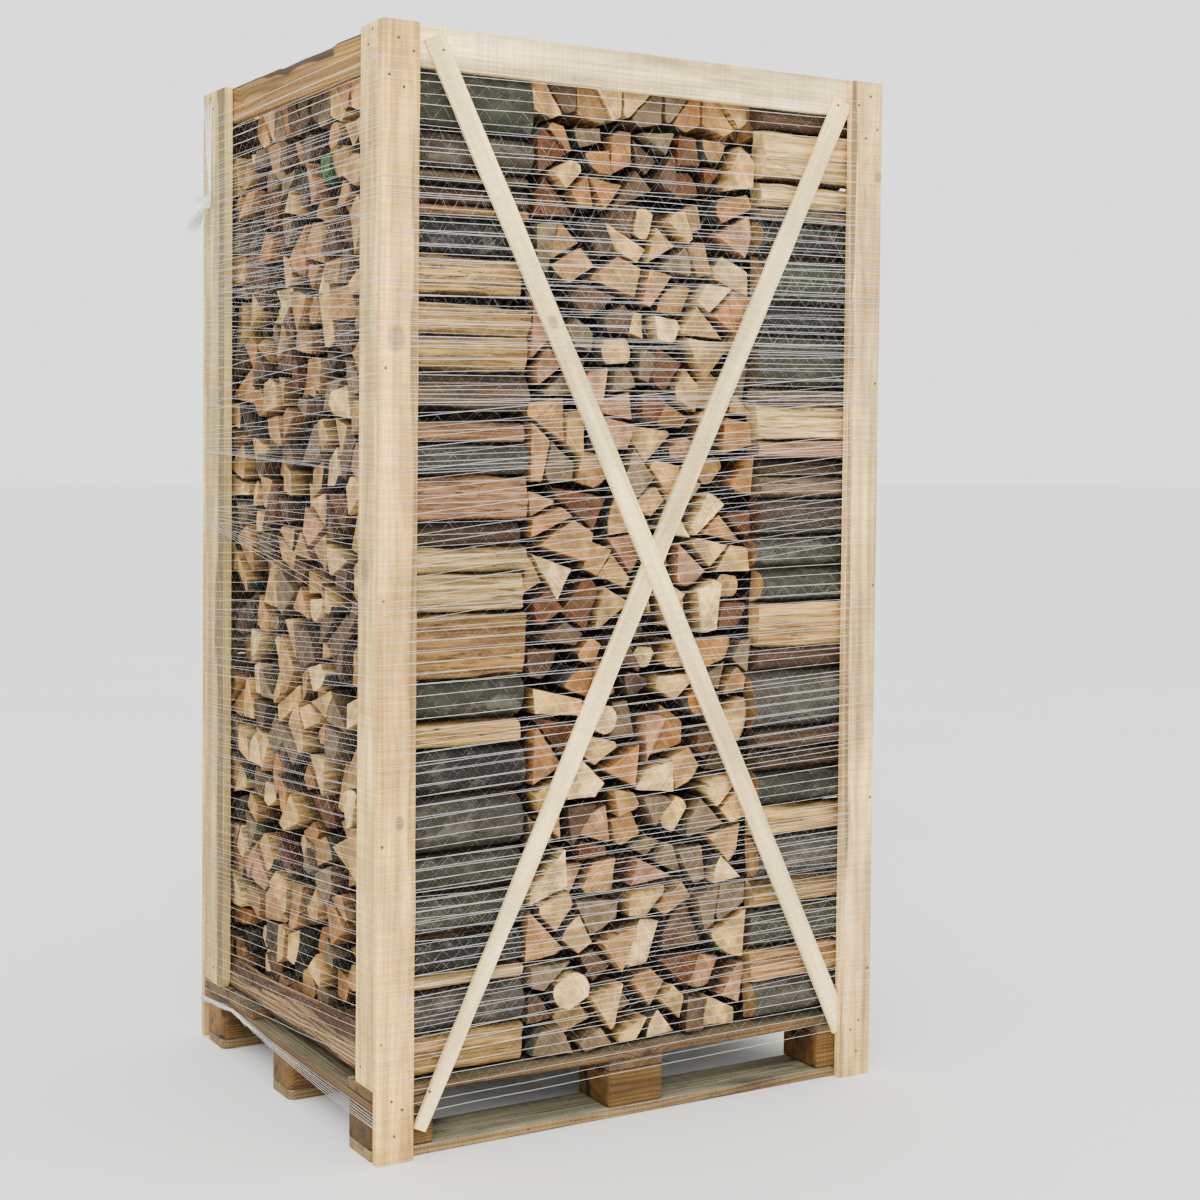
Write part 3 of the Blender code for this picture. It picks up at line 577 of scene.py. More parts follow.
@dataclass(frozen=True)
class BeechBark:
    """Smooth grey beech bark: lichen blotches, fine wrinkles round the stem, a few fissures and painted
    shade.
    """

    name: str = "beech bark"
    painted_recess_shade: float = 0.75
    lichen: Colour = linear(112, 108, 92)
    moss: Colour = linear(56, 62, 42)
    fissure: Colour = linear(22, 19, 16)
    rust: Colour = linear(98, 56, 30)

    def material(self) -> Material:
        """Build the material.

        Returns:
            The material.
        """
        g = Graph(self.name)
        place = g.attribute("place")
        mottle = g.noise(place, (34.0, 34.0, 22.0), 4.0, 0.62)
        wrinkles = g.noise(place, (34.0, 34.0, 300.0), 2.0)
        grain = g.noise(place, (240.0, 240.0, 170.0), 3.0, 0.6)
        lichen = g.noise(place, (20.0, 20.0, 14.0), 5.0, 0.66).between(0.52, 0.66)
        moss = g.noise(place, (7.0, 7.0, 5.0), 4.0, 0.6).between(0.50, 0.66)
        seam = g.maths("ABSOLUTE", g.noise(place, (30.0, 30.0, 8.0), 3.0, 0.6) - 0.5)
        fissured = (1 - seam.between(0.003, 0.014)) * mottle.between(0.42, 0.58)
        light = mottle.between(0.32, 0.68) * 1.1 + wrinkles * 0.6 + grain * 0.9 - 1.30
        colour = g.shaded(g.attribute("bark"), g.stops(light))
        colour = g.mix(lichen * 0.42, colour, self.lichen)
        colour = g.mix(moss * 0.35, colour, self.moss)
        rust = g.noise(place, (60.0, 60.0, 45.0), 3.0, 0.6).between(0.66, 0.72)
        colour = g.mix(rust * 0.7, colour, self.rust)
        colour = g.mix(fissured * 0.85, colour, self.fissure)
        # Painted shade: darker behind a log's end and front, as in the recesses between logs
        colour = g.shaded(colour, 1 - g.attribute("wane_and_shade", "Fac") * self.painted_recess_shade)
        height = mottle * 0.40 + wrinkles * 0.30 + grain * 0.22 + (1 - fissured) * 0.5
        return g.finish(colour, 0.86, height, 0.0018)


@dataclass(frozen=True)
class SawnWood:
    """Sawn softwood: growth bands about a pith outside the board, knots, saw marks and grime."""

    name: str
    early: Colour
    late: Colour
    grime: Colour
    wane: Colour
    grime_share: float = 0.25
    ring_width: float = 0.0052
    contrast: float = 0.75
    knots: float = 0.055
    rough: float = 0.74
    relief: float = 0.0008
    spot: float = 0.011
    depth: float = 1.0

    def material(self) -> Material:
        """Build the material.

        Returns:
            The material.
        """
        g = Graph(self.name)
        place = g.attribute("place")
        x, y, z = g.parts(place)
        wander = g.noise(place, (5.0, 5.0, 1.1), 2.0)
        cells = {"Vector": g.scaled(place, (4.6, 4.6, 3.4)), "Scale": 1.0, "Randomness": 1.0}
        knot_distance = g.node("ShaderNodeTexVoronoi", {"feature": "F1"}, cells)
        swerve = 1 - knot_distance.between(0.0, self.knots * 4.2)
        radius = g.maths("SQRT", x * x + y * y) + wander * 0.030 + swerve * 0.010
        ring = g.maths("SINE", radius * (2 * math.pi / self.ring_width))
        band = ring.between(-0.25, 1.0)
        fibres = g.noise(place, (330.0, 330.0, 6.0), 3.0, 0.6)
        streaks = g.noise(place, (46.0, 46.0, 1.4), 2.0).between(0.30, 0.70)
        saw = g.noise(place, (3.0, 3.0, 210.0), 2.0, 0.6)
        knot = 1 - knot_distance.between(self.knots * 0.72, self.knots)
        halo = 1 - knot_distance.between(self.knots * 0.9, self.knots * 1.7)
        cloud = g.noise(place, (11.0, 11.0, 3.4), 3.0, 0.6).between(0.30, 0.70)
        light = (fibres * 0.8 + streaks * 0.50 + saw * 1.0 + cloud * 0.60 - 1.45) * self.depth
        colour = g.mix(band * self.contrast, self.early, self.late)
        colour = g.shaded(g.mix(halo * 0.35, colour, self.late), g.stops(light))
        tint = g.attribute("wood")
        colour = g.node("ShaderNodeVectorMath", {"operation": "MULTIPLY"}, {0: colour, 1: tint})
        knotty = g.mix(0.5, self.wane, self.late)
        colour = g.mix(knot * 0.82, colour, g.shaded(knotty, 0.75 + fibres * 0.2))
        flat = (1.0, 1.0, 0.7)
        for name, size, share in (("facts", self.spot, 0.75), ("bark", self.spot * 1.7, 0.55)):
            ends = {0: g.scaled(place, flat), 1: g.scaled(g.attribute(name), flat)}
            apart = g.node("ShaderNodeVectorMath", {"operation": "DISTANCE"}, ends, "Value")
            inside = 1 - (apart + (wander - 0.5) * 0.006).between(size * 0.6, size * 1.25)
            colour = g.mix(inside * share, colour, self.grime)
        stripe = g.noise(place, (24.0, 24.0, 0.9), 2.0).between(0.56, 0.74)
        colour = g.mix(stripe * self.grime_share * 1.3, colour, self.grime)
        dirt = g.noise(place, (16.0, 16.0, 4.0), 5.0, 0.66).between(0.48, 0.74)
        specks = g.noise(place, (150.0, 150.0, 90.0), 2.0, 0.6).between(0.66, 0.74)
        colour = g.mix(dirt * self.grime_share, colour, self.grime)
        colour = g.mix(specks * self.grime_share * 1.2, colour, self.grime)
        wane_and_shade = g.attribute("wane_and_shade", "Fac")
        worn = (wane_and_shade + (streaks - 0.5) * 0.5 * wane_and_shade.between(0.02, 0.3)).between(0.12, 0.55)
        mottle = g.noise(place, (60.0, 60.0, 18.0), 3.0).between(0.35, 0.65)
        wane = g.mix(mottle, self.wane, dimmed(self.wane, 0.62))
        colour = g.mix(worn * 0.85, colour, g.shaded(wane, 0.7 + fibres * 0.6))
        height = fibres * 0.45 + band * 0.18 + saw * 0.22 + streaks * 0.15 + knot * 0.1
        return g.finish(colour, self.rough, height, self.relief)


@dataclass(frozen=True)
class Mottled:
    """Plain finish whose two colours turn into each other in soft patches with a low relief."""

    name: str
    first: Colour
    second: Colour
    scale: float
    rough: float
    relief: float
    detail: float = 3.0
    edges: Pair | None = None
    specular: float = 0.25
    on_object: bool = False

    def material(self) -> Material:
        """Build the material.

        Returns:
            The material.
        """
        g = Graph(self.name)
        place = g.attribute("place")
        if self.on_object:
            place = g.node("ShaderNodeTexCoord", {}, {}, "Object")
        patches = g.noise(place, (self.scale, self.scale, self.scale), self.detail)
        share = patches.between(*self.edges) if self.edges else patches
        colour = g.mix(share, self.first, self.second)
        return g.finish(colour, self.rough, patches, self.relief, self.specular)


# Painted shade: the unseen inner logs are coloured near black, so the gaps between the logs in front look
# deep in shade
DARK_HEART = Mottled(
    "shaded inner wood", linear(22, 18, 15), linear(46, 34, 25), 22.0, 0.95, 0.002, edges=(0.4, 0.6)
)
NET_PLASTIC = Mottled(
    "knitted net", linear(246, 246, 244), linear(228, 229, 230), 60.0, 0.38, 0.0001, 2.0, specular=0.5
)
NAIL_STEEL = Mottled(
    "nail head", linear(70, 76, 86), linear(74, 48, 32), 180.0, 0.5, 0.0003, 3.0, (0.45, 0.6), 0.5
)
PALE_FLOOR = Mottled(
    "pale floor", linear(246, 246, 245), linear(240, 240, 239), 0.9, 0.92, 0.0001, 2.0, None, 0.1, True
)


# Outlines of log ends are arrays of (u, v) corners, convex and anticlockwise


def clip_outline(outline: Array, point: Array, normal: Array) -> Array:
    """Keep the side of a line that its normal points away from.

    Args:
        outline: Corners of shape (k, 2).
        point: Point on the line.
        normal: Direction of the side that is cut off.

    Returns:
        Corners of what is left. A side that crosses the line is cut at a / (a - b) of its
        length, where a and b are its ends' distances from the line.
    """
    side = (outline - point) @ normal
    following = np.roll(side, -1)
    crossing = side * following < 0
    share = side / np.where(crossing, side - following, 1.0)
    cut = outline + share[:, None] * (np.roll(outline, -1, axis=0) - outline)
    both = np.stack([outline, cut], axis=1).reshape(-1, 2)
    return both[np.stack([side <= 0, crossing], axis=1).ravel()]


def outline_area(outline: Array) -> float:
    """Area by the shoelace formula."""
    ahead = np.roll(outline, -1, axis=0)
    return float((outline[:, 0] * ahead[:, 1] - ahead[:, 0] * outline[:, 1]).sum()) / 2


def heading(angle: float) -> Array:
    """Unit vector at an angle."""
    return np.array([math.cos(angle), math.sin(angle)])


def split_outline(code: int, outline: Array, largest: float, logs: list[tuple[int, Array]]) -> None:
    """Cut an outline across its longer way until each piece is one log's end.

    Each piece draws from its own code, so that a smaller limit only cuts further than the
    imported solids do. The longer way is half of atan2(2 uv, uu - vv), from the corners' spread.

    Args:
        code: Number of the piece, from which its draws come.
        outline: The piece.
        largest: Area above which it is cut again.
        logs: List that gets the codes and outlines of the uncut pieces.
    """
    rng = Random(code)
    area = outline_area(outline)
    if area < largest * rng.uniform(0.55, 1.0):
        logs.append((code, outline))
        return
    centre = outline.mean(axis=0)
    away = outline - centre
    along = 0.5 * math.atan2(2 * (away[:, 0] * away[:, 1]).sum(), (away[:, 0] ** 2 - away[:, 1] ** 2).sum())
    reach = math.sqrt(area)
    smallest = SMALLEST_END if area > PACKED_LARGEST else FINE_SMALLEST
    for _ in range(12):
        angle = along + rng.uniform(-0.62, 0.62)
        point = centre + rng.uniform(-0.16, 0.16) * reach * heading(along)
        normal = heading(angle)
        first = clip_outline(outline, point, normal)
        second = clip_outline(outline, point, -normal)
        if min(outline_area(first), outline_area(second)) > smallest:
            break
    split_outline(2 * code, first, largest, logs)
    split_outline(2 * code + 1, second, largest, logs)


def scattered_cells(seed: int, ranges: tuple[float, float, float, float], spacing: float) -> list[Array]:
    """Part a rectangle among scattered points: each cell is what lies nearest to its point.

    Args:
        seed: Seed of the points.
        ranges: Low and high u, low and high v.
        spacing: Mean distance between points.

    Returns:
        Outlines of the cells.
    """
    rng = Random(seed)
    low_u, high_u, low_v, high_v = ranges
    columns = max(1, round((high_u - low_u) / spacing))
    rows = max(1, round((high_v - low_v) / spacing))
    places = []
    for row in range(rows):
        for column in range(columns):
            stagger = 0.125 if row % 2 else -0.125
            scatter = rng.uniform(-0.36, 0.36)
            place_u = (column + 0.5 + scatter + stagger) / columns
            place_v = (row + 0.5 + rng.uniform(-0.36, 0.36)) / rows
            places.append((low_u + (high_u - low_u) * place_u, low_v + (high_v - low_v) * place_v))
    points = np.array(places)
    box = np.array([(low_u, low_v), (high_u, low_v), (high_u, high_v), (low_u, high_v)])
    cells = []
    for point in points:
        cell = box
        distances = np.linalg.norm(points - point, axis=1)
        near = (distances > 0) & (distances < 4 * spacing)
        for other, distance in zip(points[near], distances[near]):
            cell = clip_outline(cell, (point + other) / 2, (other - point) / distance)
        cells.append(cell)
    return cells


def inset_outline(outline: Array, distance: float) -> Array:
    """Move every side of an outline inwards by clipping with each side's shifted line.

    Args:
        outline: Corners of shape (k, 2).
        distance: How far each side moves.

    Returns:
        Corners of what is left.
    """
    sides = np.roll(outline, -1, axis=0) - outline
    lengths = np.linalg.norm(sides, axis=1)
    inner = outline
    for corner, side, length in zip(outline, sides, lengths):
        if length > 0.00001:
            normal = np.array([side[1], -side[0]]) / length
            inner = clip_outline(inner, corner - normal * distance, normal)
    return inner


def main_corners(outline: Array, smallest_share: float) -> Array:
    """Drop the corners that hold little of the outline, as a split log has few faces.

    Args:
        outline: Corners of shape (k, 2).
        smallest_share: Share of the area in a corner's triangle above which the corner stays.

    Returns:
        The corners that stay, three or more.
    """
    area = outline_area(outline)
    while len(outline) > 3:
        before = np.roll(outline, 1, axis=0) - outline
        after = np.roll(outline, -1, axis=0) - outline
        ears = (after[:, 0] * before[:, 1] - after[:, 1] * before[:, 0]) / 2
        least = int(ears.argmin())
        if ears[least] > smallest_share * area:
            break
        outline = np.delete(outline, least, axis=0)
    return outline


def circle_clip(outline: Array, centre: Array, radius: float) -> Array:
    """Cut an outline to a circle of thirty sides.

    Args:
        outline: Corners of shape (k, 2).
        centre: Middle of the circle.
        radius: Its radius.

    Returns:
        Corners of what is left.
    """
    for angle in 2 * math.pi * np.arange(30) / 30:
        outline = clip_outline(outline, centre + radius * heading(angle), heading(angle))
    return outline


def ring_of(outline: Array, spacing: float, rounding: float) -> Array:
    """Points round an outline, with its corners chamfered.

    Each side of length s gives points at even steps of about the spacing between r and s - r,
    where r is the rounding, or 0.3 s on a short side.

    Args:
        outline: Corners of shape (k, 2).
        spacing: Longest step along a side.
        rounding: Length taken off at each corner.

    Returns:
        Points of shape (n, 2).
    """
    pieces = []
    for corner, following in zip(outline, np.roll(outline, -1, axis=0)):
        side = following - corner
        length = float(np.linalg.norm(side))
        if length > SHORTEST_SIDE:
            cut = min(rounding / length, 0.3)
            steps = max(2, math.ceil((1 - 2 * cut) * length / spacing) + 1)
            shares = np.linspace(cut, 1 - cut, steps)
            pieces.append(corner + shares[:, None] * side)
    return np.concatenate(pieces)


@dataclass
class LogShape:
    """One log in its own frame: a section in (p, q), swept along t.

    Points on the section move outwards along its normal by the ripple of their own place, which
    is long along the grain. The cut tilts the start by its slope times the distance from the
    section's middle, and so does the cut at the end; both fade evenly towards the other end. Its
    painted shade, which darkens it as in the recesses between logs, grows from the start over one
    reach, or behind a front over another.
    """

    ring: Array
    pith: Array
    bark_radius: float
    start: float
    end: float
    seed: int
    rows: int = 5
    rough: float = 0.0018
    fibre_length: float = 0.16
    cut_start: Pair = (0.0, 0.0)
    cut_end: Pair = (0.0, 0.0)
    taper: float = 0.0
    painted_shade_reach: float = 0.0
    painted_shade_behind: Pair | None = None

    def edge_looks(self) -> Array:
        """Bark where a face lies out at the bark's radius, and split wood elsewhere."""
        out = np.linalg.norm(self.ring - self.pith, axis=1) > self.bark_radius * 0.972
        return np.where(out & np.roll(out, -1), Look.BARK.value, Look.SPLIT.value)

    def loops(self) -> tuple[Array, Array]:
        """Loops with a bevelled rim at each end.

        Returns:
            Loops of (p, q, t, grain, painted shade), and the material slot of each face between them.
        """
        centre = self.ring.mean(axis=0)
        ahead = np.roll(self.ring, -1, axis=0) - np.roll(self.ring, 1, axis=0)
        normals = unit(np.stack([ahead[:, 1], -ahead[:, 0]], axis=1))
        bevel = 0.0028 / abs(self.end - self.start)
        inner = np.linspace(0.0, 1.0, self.rows)[1:-1]
        shares = np.concatenate([[0.0, 0.0, bevel], inner, [1 - bevel, 1.0, 1.0]])
        shrink = np.concatenate([[0.52, 0.982, 1.0], np.ones(len(inner)), [1.0, 0.982, 0.52]])
        widths = shrink * (1 + self.taper * (shares - 0.5))
        offsets = (self.ring - centre)[None] * widths[:, None, None]
        section = centre + offsets
        tilt = (offsets @ np.array(self.cut_start)) * (1 - shares)[:, None]
        tilt += (offsets @ np.array(self.cut_end)) * shares[:, None]
        t = self.start + (self.end - self.start) * shares[:, None] + tilt
        grain_start = (self.seed % 97) * 1.37
        own = np.concatenate([section - self.pith, t[..., None] + grain_start], axis=-1)
        fine = Ripple(self.seed, (0.030, 0.030, self.fibre_length)).heights(own)
        broad = Ripple(self.seed + 1, (0.09, 0.09, self.fibre_length * 1.6)).heights(own)
        looks = self.edge_looks()
        barked = looks == Look.BARK.value
        amount = np.where(barked | np.roll(barked, 1), 0.45, 1.0) * self.rough
        swell = (fine * 0.55 + broad * 0.45 - 0.4)[..., None] * amount[None, :, None] * normals[None]
        section = section + swell * shrink[:, None, None]
        own[..., :2] = section - self.pith
        # Painted shade: the log darkens behind its sawn end on stacked ends, and behind its front on side-on
        # logs, as in the recesses between logs
        wane_and_shade = np.zeros((*t.shape, 1))
        if self.painted_shade_reach:
            wane_and_shade = np.clip(np.abs(t - self.start) / self.painted_shade_reach, 0.0, 1.0)[..., None]
        if self.painted_shade_behind:
            front, reach = self.painted_shade_behind
            wane_and_shade = np.clip((np.abs(section[..., :1] - front) - FRONT_SKIN) / reach, 0.0, 1.0) ** 0.7
        points = np.concatenate([section, t[..., None], own, wane_and_shade], axis=-1)
        face_looks = np.tile(looks, (len(shares) - 1, 1))
        face_looks[[0, -1]] = Look.END.value
        return points, face_looks


def slants(rng: Random, most: float) -> Pair:
    """Two random slopes of a log's cut."""
    return rng.uniform(-most, most), rng.uniform(-most, most)


def seen_from(points: Array, axis: str) -> Array:
    """Turn (p, q, t) into the world: t runs along the axis, q is up."""
    order = [2, 0, 1] if axis == "X" else [0, 2, 1]
    return np.concatenate([points[..., order], points[..., 3:]], axis=-1)


def end_limit(outline: Array, reach: float) -> float:
    """How far out a log end may come: the rails at top and bottom hold it back."""
    railed = outline[:, 1].min() < BETWEEN_RAILS[0] or outline[:, 1].max() > BETWEEN_RAILS[1]
    return reach - BOARD_THICKNESS - RAIL_CLEARANCE if railed else reach


@dataclass
class EndStack:
    """Log ends that fill one face of a column."""

    name: str
    node: str
    axis: str
    side: int
    seed: int
    area: tuple[float, float, float, float]
    spacing: float
    largest: float
    reach: float
    recess: float = 0.036
    deep_share: float = 0.20
    deep: Pair = (0.032, 0.060)
    shrink: Pair = (0.84, 0.99)
    slant: float = 0.18
    light: float = 1.0
    tones: tuple[tuple[Tone, float], ...] = WOOD_TONES
    behind_low_rail: bool = False
    paint_at: Pair | None = None

    def outline(self, code: int, cell: Array) -> tuple[Array, Array, float, Random]:
        """Outline of one split log inside its cell: mostly a wedge whose far side is bark.

        Args:
            code: Number of the cell.
            cell: Its outline.

        Returns:
            Outline, pith, radius out to the bark and the source of further draws.
        """
        rng = Random(code + 0.5)
        outline = main_corners(inset_outline(cell, 0.0034 * rng.uniform(0.25, 1.5)), 0.175)
        turn = rng.uniform(-0.10, 0.10)
        middle = outline.mean(axis=0)
        turned = np.array([[math.cos(turn), -math.sin(turn)], [math.sin(turn), math.cos(turn)]])
        outline = middle + (outline - middle) @ turned.T * rng.uniform(*self.shrink)
        pith = outline[rng.randrange(len(outline))]
        radius = 1.0
        kind = rng.random()
        if kind < 0.62:
            radius = float(np.linalg.norm(outline - pith, axis=1).max()) * rng.uniform(0.78, 0.93)
            outline = circle_clip(outline, pith, radius)
        elif kind < 0.68:
            pith = outline.mean(axis=0)
            radius = math.sqrt(outline_area(outline) / math.pi) * rng.uniform(0.95, 1.08)
            outline = circle_clip(outline, pith, radius)
        else:
            pith = pith + (pith - outline.mean(axis=0)) * rng.uniform(0.1, 0.7)
        return outline, pith, radius, rng

    def build(self, finishes: list[Material]) -> None:
        """Make every log of the face as one piece.

        Args:
            finishes: Materials of the sawn ends, the split faces and the bark.
        """
        cells: list[tuple[int, Array]] = []
        for index, cell in enumerate(scattered_cells(self.seed, self.area, self.spacing)):
            split_outline(self.seed * 1000 + index + 1, cell, self.largest, cells)
        shells = Shells()
        painted = self.painted_log(cells)
        for code, cell in cells:
            outline, pith, radius, rng = self.outline(code, cell)
            limit = end_limit(outline, self.reach) if self.behind_low_rail else self.reach
            depth = self.recess * rng.random() ** 1.5
            if rng.random() < self.deep_share:
                depth = rng.uniform(*self.deep)
            front = limit - max(depth + 0.004, self.slant * 0.055)
            # Painted shade darkens the log's sides behind its end, as in the recess between logs
            shape = LogShape(
                ring_of(outline, 0.013, 0.0018), pith, radius,
                self.side * front, self.side * (self.reach - STUB - 0.020), code % 100003,
                cut_start=slants(rng, self.slant), painted_shade_reach=0.026,
            )
            points, looks = shape.loops()
            wood = dimmed(pick_tone(rng, self.tones), self.light)
            bark = dimmed(pick_tone(rng, BARK_TONES), self.light)
            if code == painted:
                wood = GREEN_PAINT
            facts = (radius, rng.random(), rng.random())
            shells.add(seen_from(points, self.axis), looks, wood, bark, facts)
        log.info("%s: %d logs", self.name, len(cells))
        shells.build(self.name, finishes, "beech", self.node)

    def painted_log(self, cells: list[tuple[int, Array]]) -> int | None:
        """Choose the log end that is painted.

        Args:
            cells: Numbers and outlines of the logs.

        Returns:
            Number of the smallest within 60 mm of the paint mark, where the face has one.
        """
        if self.paint_at is None:
            return None
        near = [cell for cell in cells if np.linalg.norm(cell[1].mean(axis=0) - self.paint_at) < 0.060]
        return min(near, key=lambda cell: outline_area(cell[1]))[0]


class Form(Enum):
    """Section of a log that is seen side on."""

    BARK = "rounded by its bark"
    SPLIT = "flat split face"
    WEDGE = "two split faces that meet in a ridge"


BARK, SPLIT, WEDGE = Form
FRONT_LEFT = (
    (0.152, 0.226, SPLIT, BEIGE, UMBER), (0.230, 0.318, BARK, BEIGE, ASH),
    (0.322, 0.345, SPLIT, CREAM, UMBER), (0.349, 0.419, BARK, TAN, SOOT),
    (0.423, 0.505, BARK, TAN, MOSS), (0.509, 0.585, BARK, BROWN, MOSS),
    (0.589, 0.697, BARK, TAN, ASH), (0.701, 0.795, BARK, ORANGE, SOOT),
    (0.799, 0.846, SPLIT, BEIGE, ASH), (0.850, 0.930, BARK, CREAM, MOSS),
    (0.934, 1.059, SPLIT, TAN, ASH), (1.064, 1.138, SPLIT, CREAM, ASH),
    (1.142, 1.191, SPLIT, CREAM, ASH), (1.195, 1.243, WEDGE, BROWN, UMBER),
    (1.247, 1.330, SPLIT, PINK_TAN, ASH), (1.334, 1.397, BARK, RED_BROWN, ASH),
    (1.401, 1.438, SPLIT, PINK_TAN, UMBER), (1.465, 1.536, WEDGE, GREY_BROWN, UMBER),
    (1.540, 1.606, SPLIT, BEIGE, ASH), (1.611, 1.668, SPLIT, BEIGE, UMBER),
    (1.690, 1.764, SPLIT, BEIGE, ASH), (1.768, 1.840, BARK, BROWN, SOOT),
    (1.844, 1.860, SPLIT, TAN, UMBER), (1.864, 1.905, WEDGE, BROWN, SOOT),
    (1.909, 1.926, SPLIT, GREY_BROWN, MOSS), (1.930, 2.003, BARK, TAN, UMBER),
    (2.007, 2.1270, BARK, TAN, MOSS),
)
FRONT_RIGHT = (
    (0.150, 0.232, BARK, TAN, ASH), (0.237, 0.300, SPLIT, TAN, ASH),
    (0.304, 0.392, BARK, BROWN, MOSS), (0.396, 0.452, WEDGE, BEIGE, UMBER),
    (0.456, 0.548, BARK, TAN, ASH), (0.552, 0.612, SPLIT, BEIGE, ASH),
    (0.616, 0.690, BARK, TAN, SOOT), (0.694, 0.739, WEDGE, BROWN, ASH),
    (0.743, 0.779, SPLIT, BROWN, SOOT), (0.783, 0.911, BARK, TAN, ASH),
    (0.915, 0.957, SPLIT, BROWN, ASH), (0.961, 1.056, SPLIT, BEIGE, ASH),
    (1.060, 1.132, BARK, TAN, MOSS), (1.136, 1.200, BARK, ORANGE, MOSS),
    (1.204, 1.286, BARK, RED_BROWN, UMBER), (1.290, 1.330, SPLIT, GREY_BROWN, ASH),
    (1.334, 1.371, WEDGE, BROWN, SOOT), (1.375, 1.410, SPLIT, PINK_TAN, SOOT),
    (1.414, 1.488, SPLIT, CREAM, ASH), (1.492, 1.519, SPLIT, GREY_BROWN, ASH),
    (1.524, 1.638, BARK, BROWN, MOSS), (1.642, 1.703, BARK, RED_BROWN, SOOT),
    (1.707, 1.808, BARK, TAN, MOSS), (1.812, 1.882, BARK, TAN, SOOT),
    (1.886, 1.909, SPLIT, GREY_BROWN, ASH), (1.913, 1.960, SPLIT, CREAM, ASH),
    (1.974, 2.075, SPLIT, CREAM, ASH), (2.079, 2.1270, WEDGE, BROWN, SOOT),
)


def side_outline(
    rng: Random, low: float, high: float, form: Form, way: float
) -> tuple[Array, Array, float]:
    """Section of a log seen side on, with its front at p = 0 and its back at a depth behind.

    Args:
        rng: Source of the draws.
        low: Its lowest height.
        high: Its highest height.
        form: What shows in front.
        way: -1 where the front faces -Y and 1 where it faces +Y.

    Returns:
        Outline, pith and radius out to the bark.
    """
    tall = high - low
    middle = (low + high) / 2
    radius = 1.0
    if form is Form.BARK:
        bulge = min(0.55 * tall, 0.75 * SIDE_LOG_DEPTH)
        angles = np.linspace(math.pi / 2, -math.pi / 2, 15)
        front = np.stack([bulge * np.cos(angles) - bulge, tall / 2 * np.sin(angles) + middle], axis=1)
        pith = np.array([-bulge, middle])
        radius = 0.001
    elif form is Form.SPLIT:
        upper, lower = rng.uniform(0.0, 0.013), rng.uniform(0.0, 0.013)
        fore = (min(0.0, 0.004 - min(upper, lower)), low + tall * rng.uniform(0.35, 0.7))
        front = [(-upper, high), fore, (-lower, low)]
        pith = np.array([rng.uniform(-0.09, 0.02), rng.choice((low - 0.01, high + 0.01))])
    else:
        ridge = low + tall * rng.uniform(0.30, 0.62)
        front = [(-0.026, high), (0.0, ridge), (-0.014, low)]
        pith = np.array([0.01, ridge])
    back = [(-SIDE_LOG_DEPTH, low - BACK_TOUCH), (-SIDE_LOG_DEPTH, high + BACK_TOUCH)]
    outline = np.concatenate([front, back])[::-1]
    facing = np.array([way, 1.0])
    outline = outline * facing
    outline = outline[::-1] if outline_area(outline) < 0 else outline
    return outline, pith * facing, radius


@dataclass
class SideRow:
    """Logs of an outer column that lie along X and are seen side on."""

    name: str
    node: str
    side: int
    way: int
    column_end: float
    rows: tuple[tuple[float, float, Form, Tone, Tone], ...]
    rng: Random
    light: Pair

    def build(self, finishes: list[Material]) -> None:
        """Make every log of the row as one piece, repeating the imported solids' draws.

        Args:
            finishes: Materials of the sawn ends, the split faces and the bark.
        """
        shells = Shells()
        for index, (low, high, form, wood, bark) in enumerate(self.rows):
            back_off = self.rng.uniform(0, 0.008)
            if form is Form.SPLIT:
                self.rng.random()
                self.rng.random()
            inner = self.column_end + self.side * self.rng.uniform(0, 0.018)
            own = Random(self.side * 1009 + self.way * 313 + index)
            outline, pith, radius = side_outline(own, low, high, form, self.way)
            front = self.way * (LOG_REACH_Y - back_off - 0.0012)
            place = np.array([front, 0.0])
            tall = high - low
            # Painted shade darkens the log behind its front, as in the gaps between logs
            shape = LogShape(
                ring_of(outline + place, 0.0065, 0.0055), pith + place, radius,
                inner + self.side * 0.002, self.side * (end_limit(outline, LOG_REACH_X) - 0.006),
                7000 + index * 31 + (self.side + 1) * 500 + (self.way + 1) * 90,
                rows=20, rough=min(0.0058, tall * 0.085), fibre_length=0.13,
                cut_start=(own.uniform(-0.10, 0.10), own.uniform(-0.12, 0.12)),
                taper=own.uniform(-0.16, 0.16) * min(1.0, 0.05 / tall),
                painted_shade_behind=(front, 0.045 if form is Form.BARK else 0.022),
            )
            points, looks = shape.loops()
            if form is Form.BARK:
                looks[1:-1] = self.front_bark(shape.ring, front)
            light = own.uniform(*self.light)
            wood, bark = dimmed(wood.value, light), dimmed(bark.value, light)
            shells.add(seen_from(points, "X"), looks, wood, bark, (1.0, own.random(), own.random()))
        shells.build(self.name, finishes, "beech", self.node)

    def front_bark(self, ring: Array, front: float) -> Array:
        """Bark on the rounded front of the section, and split faces behind it."""
        fore = np.abs(ring[:, 0] - front) < SIDE_LOG_DEPTH * 0.80
        return np.where(fore & np.roll(fore, -1), Look.BARK.value, Look.SPLIT.value)


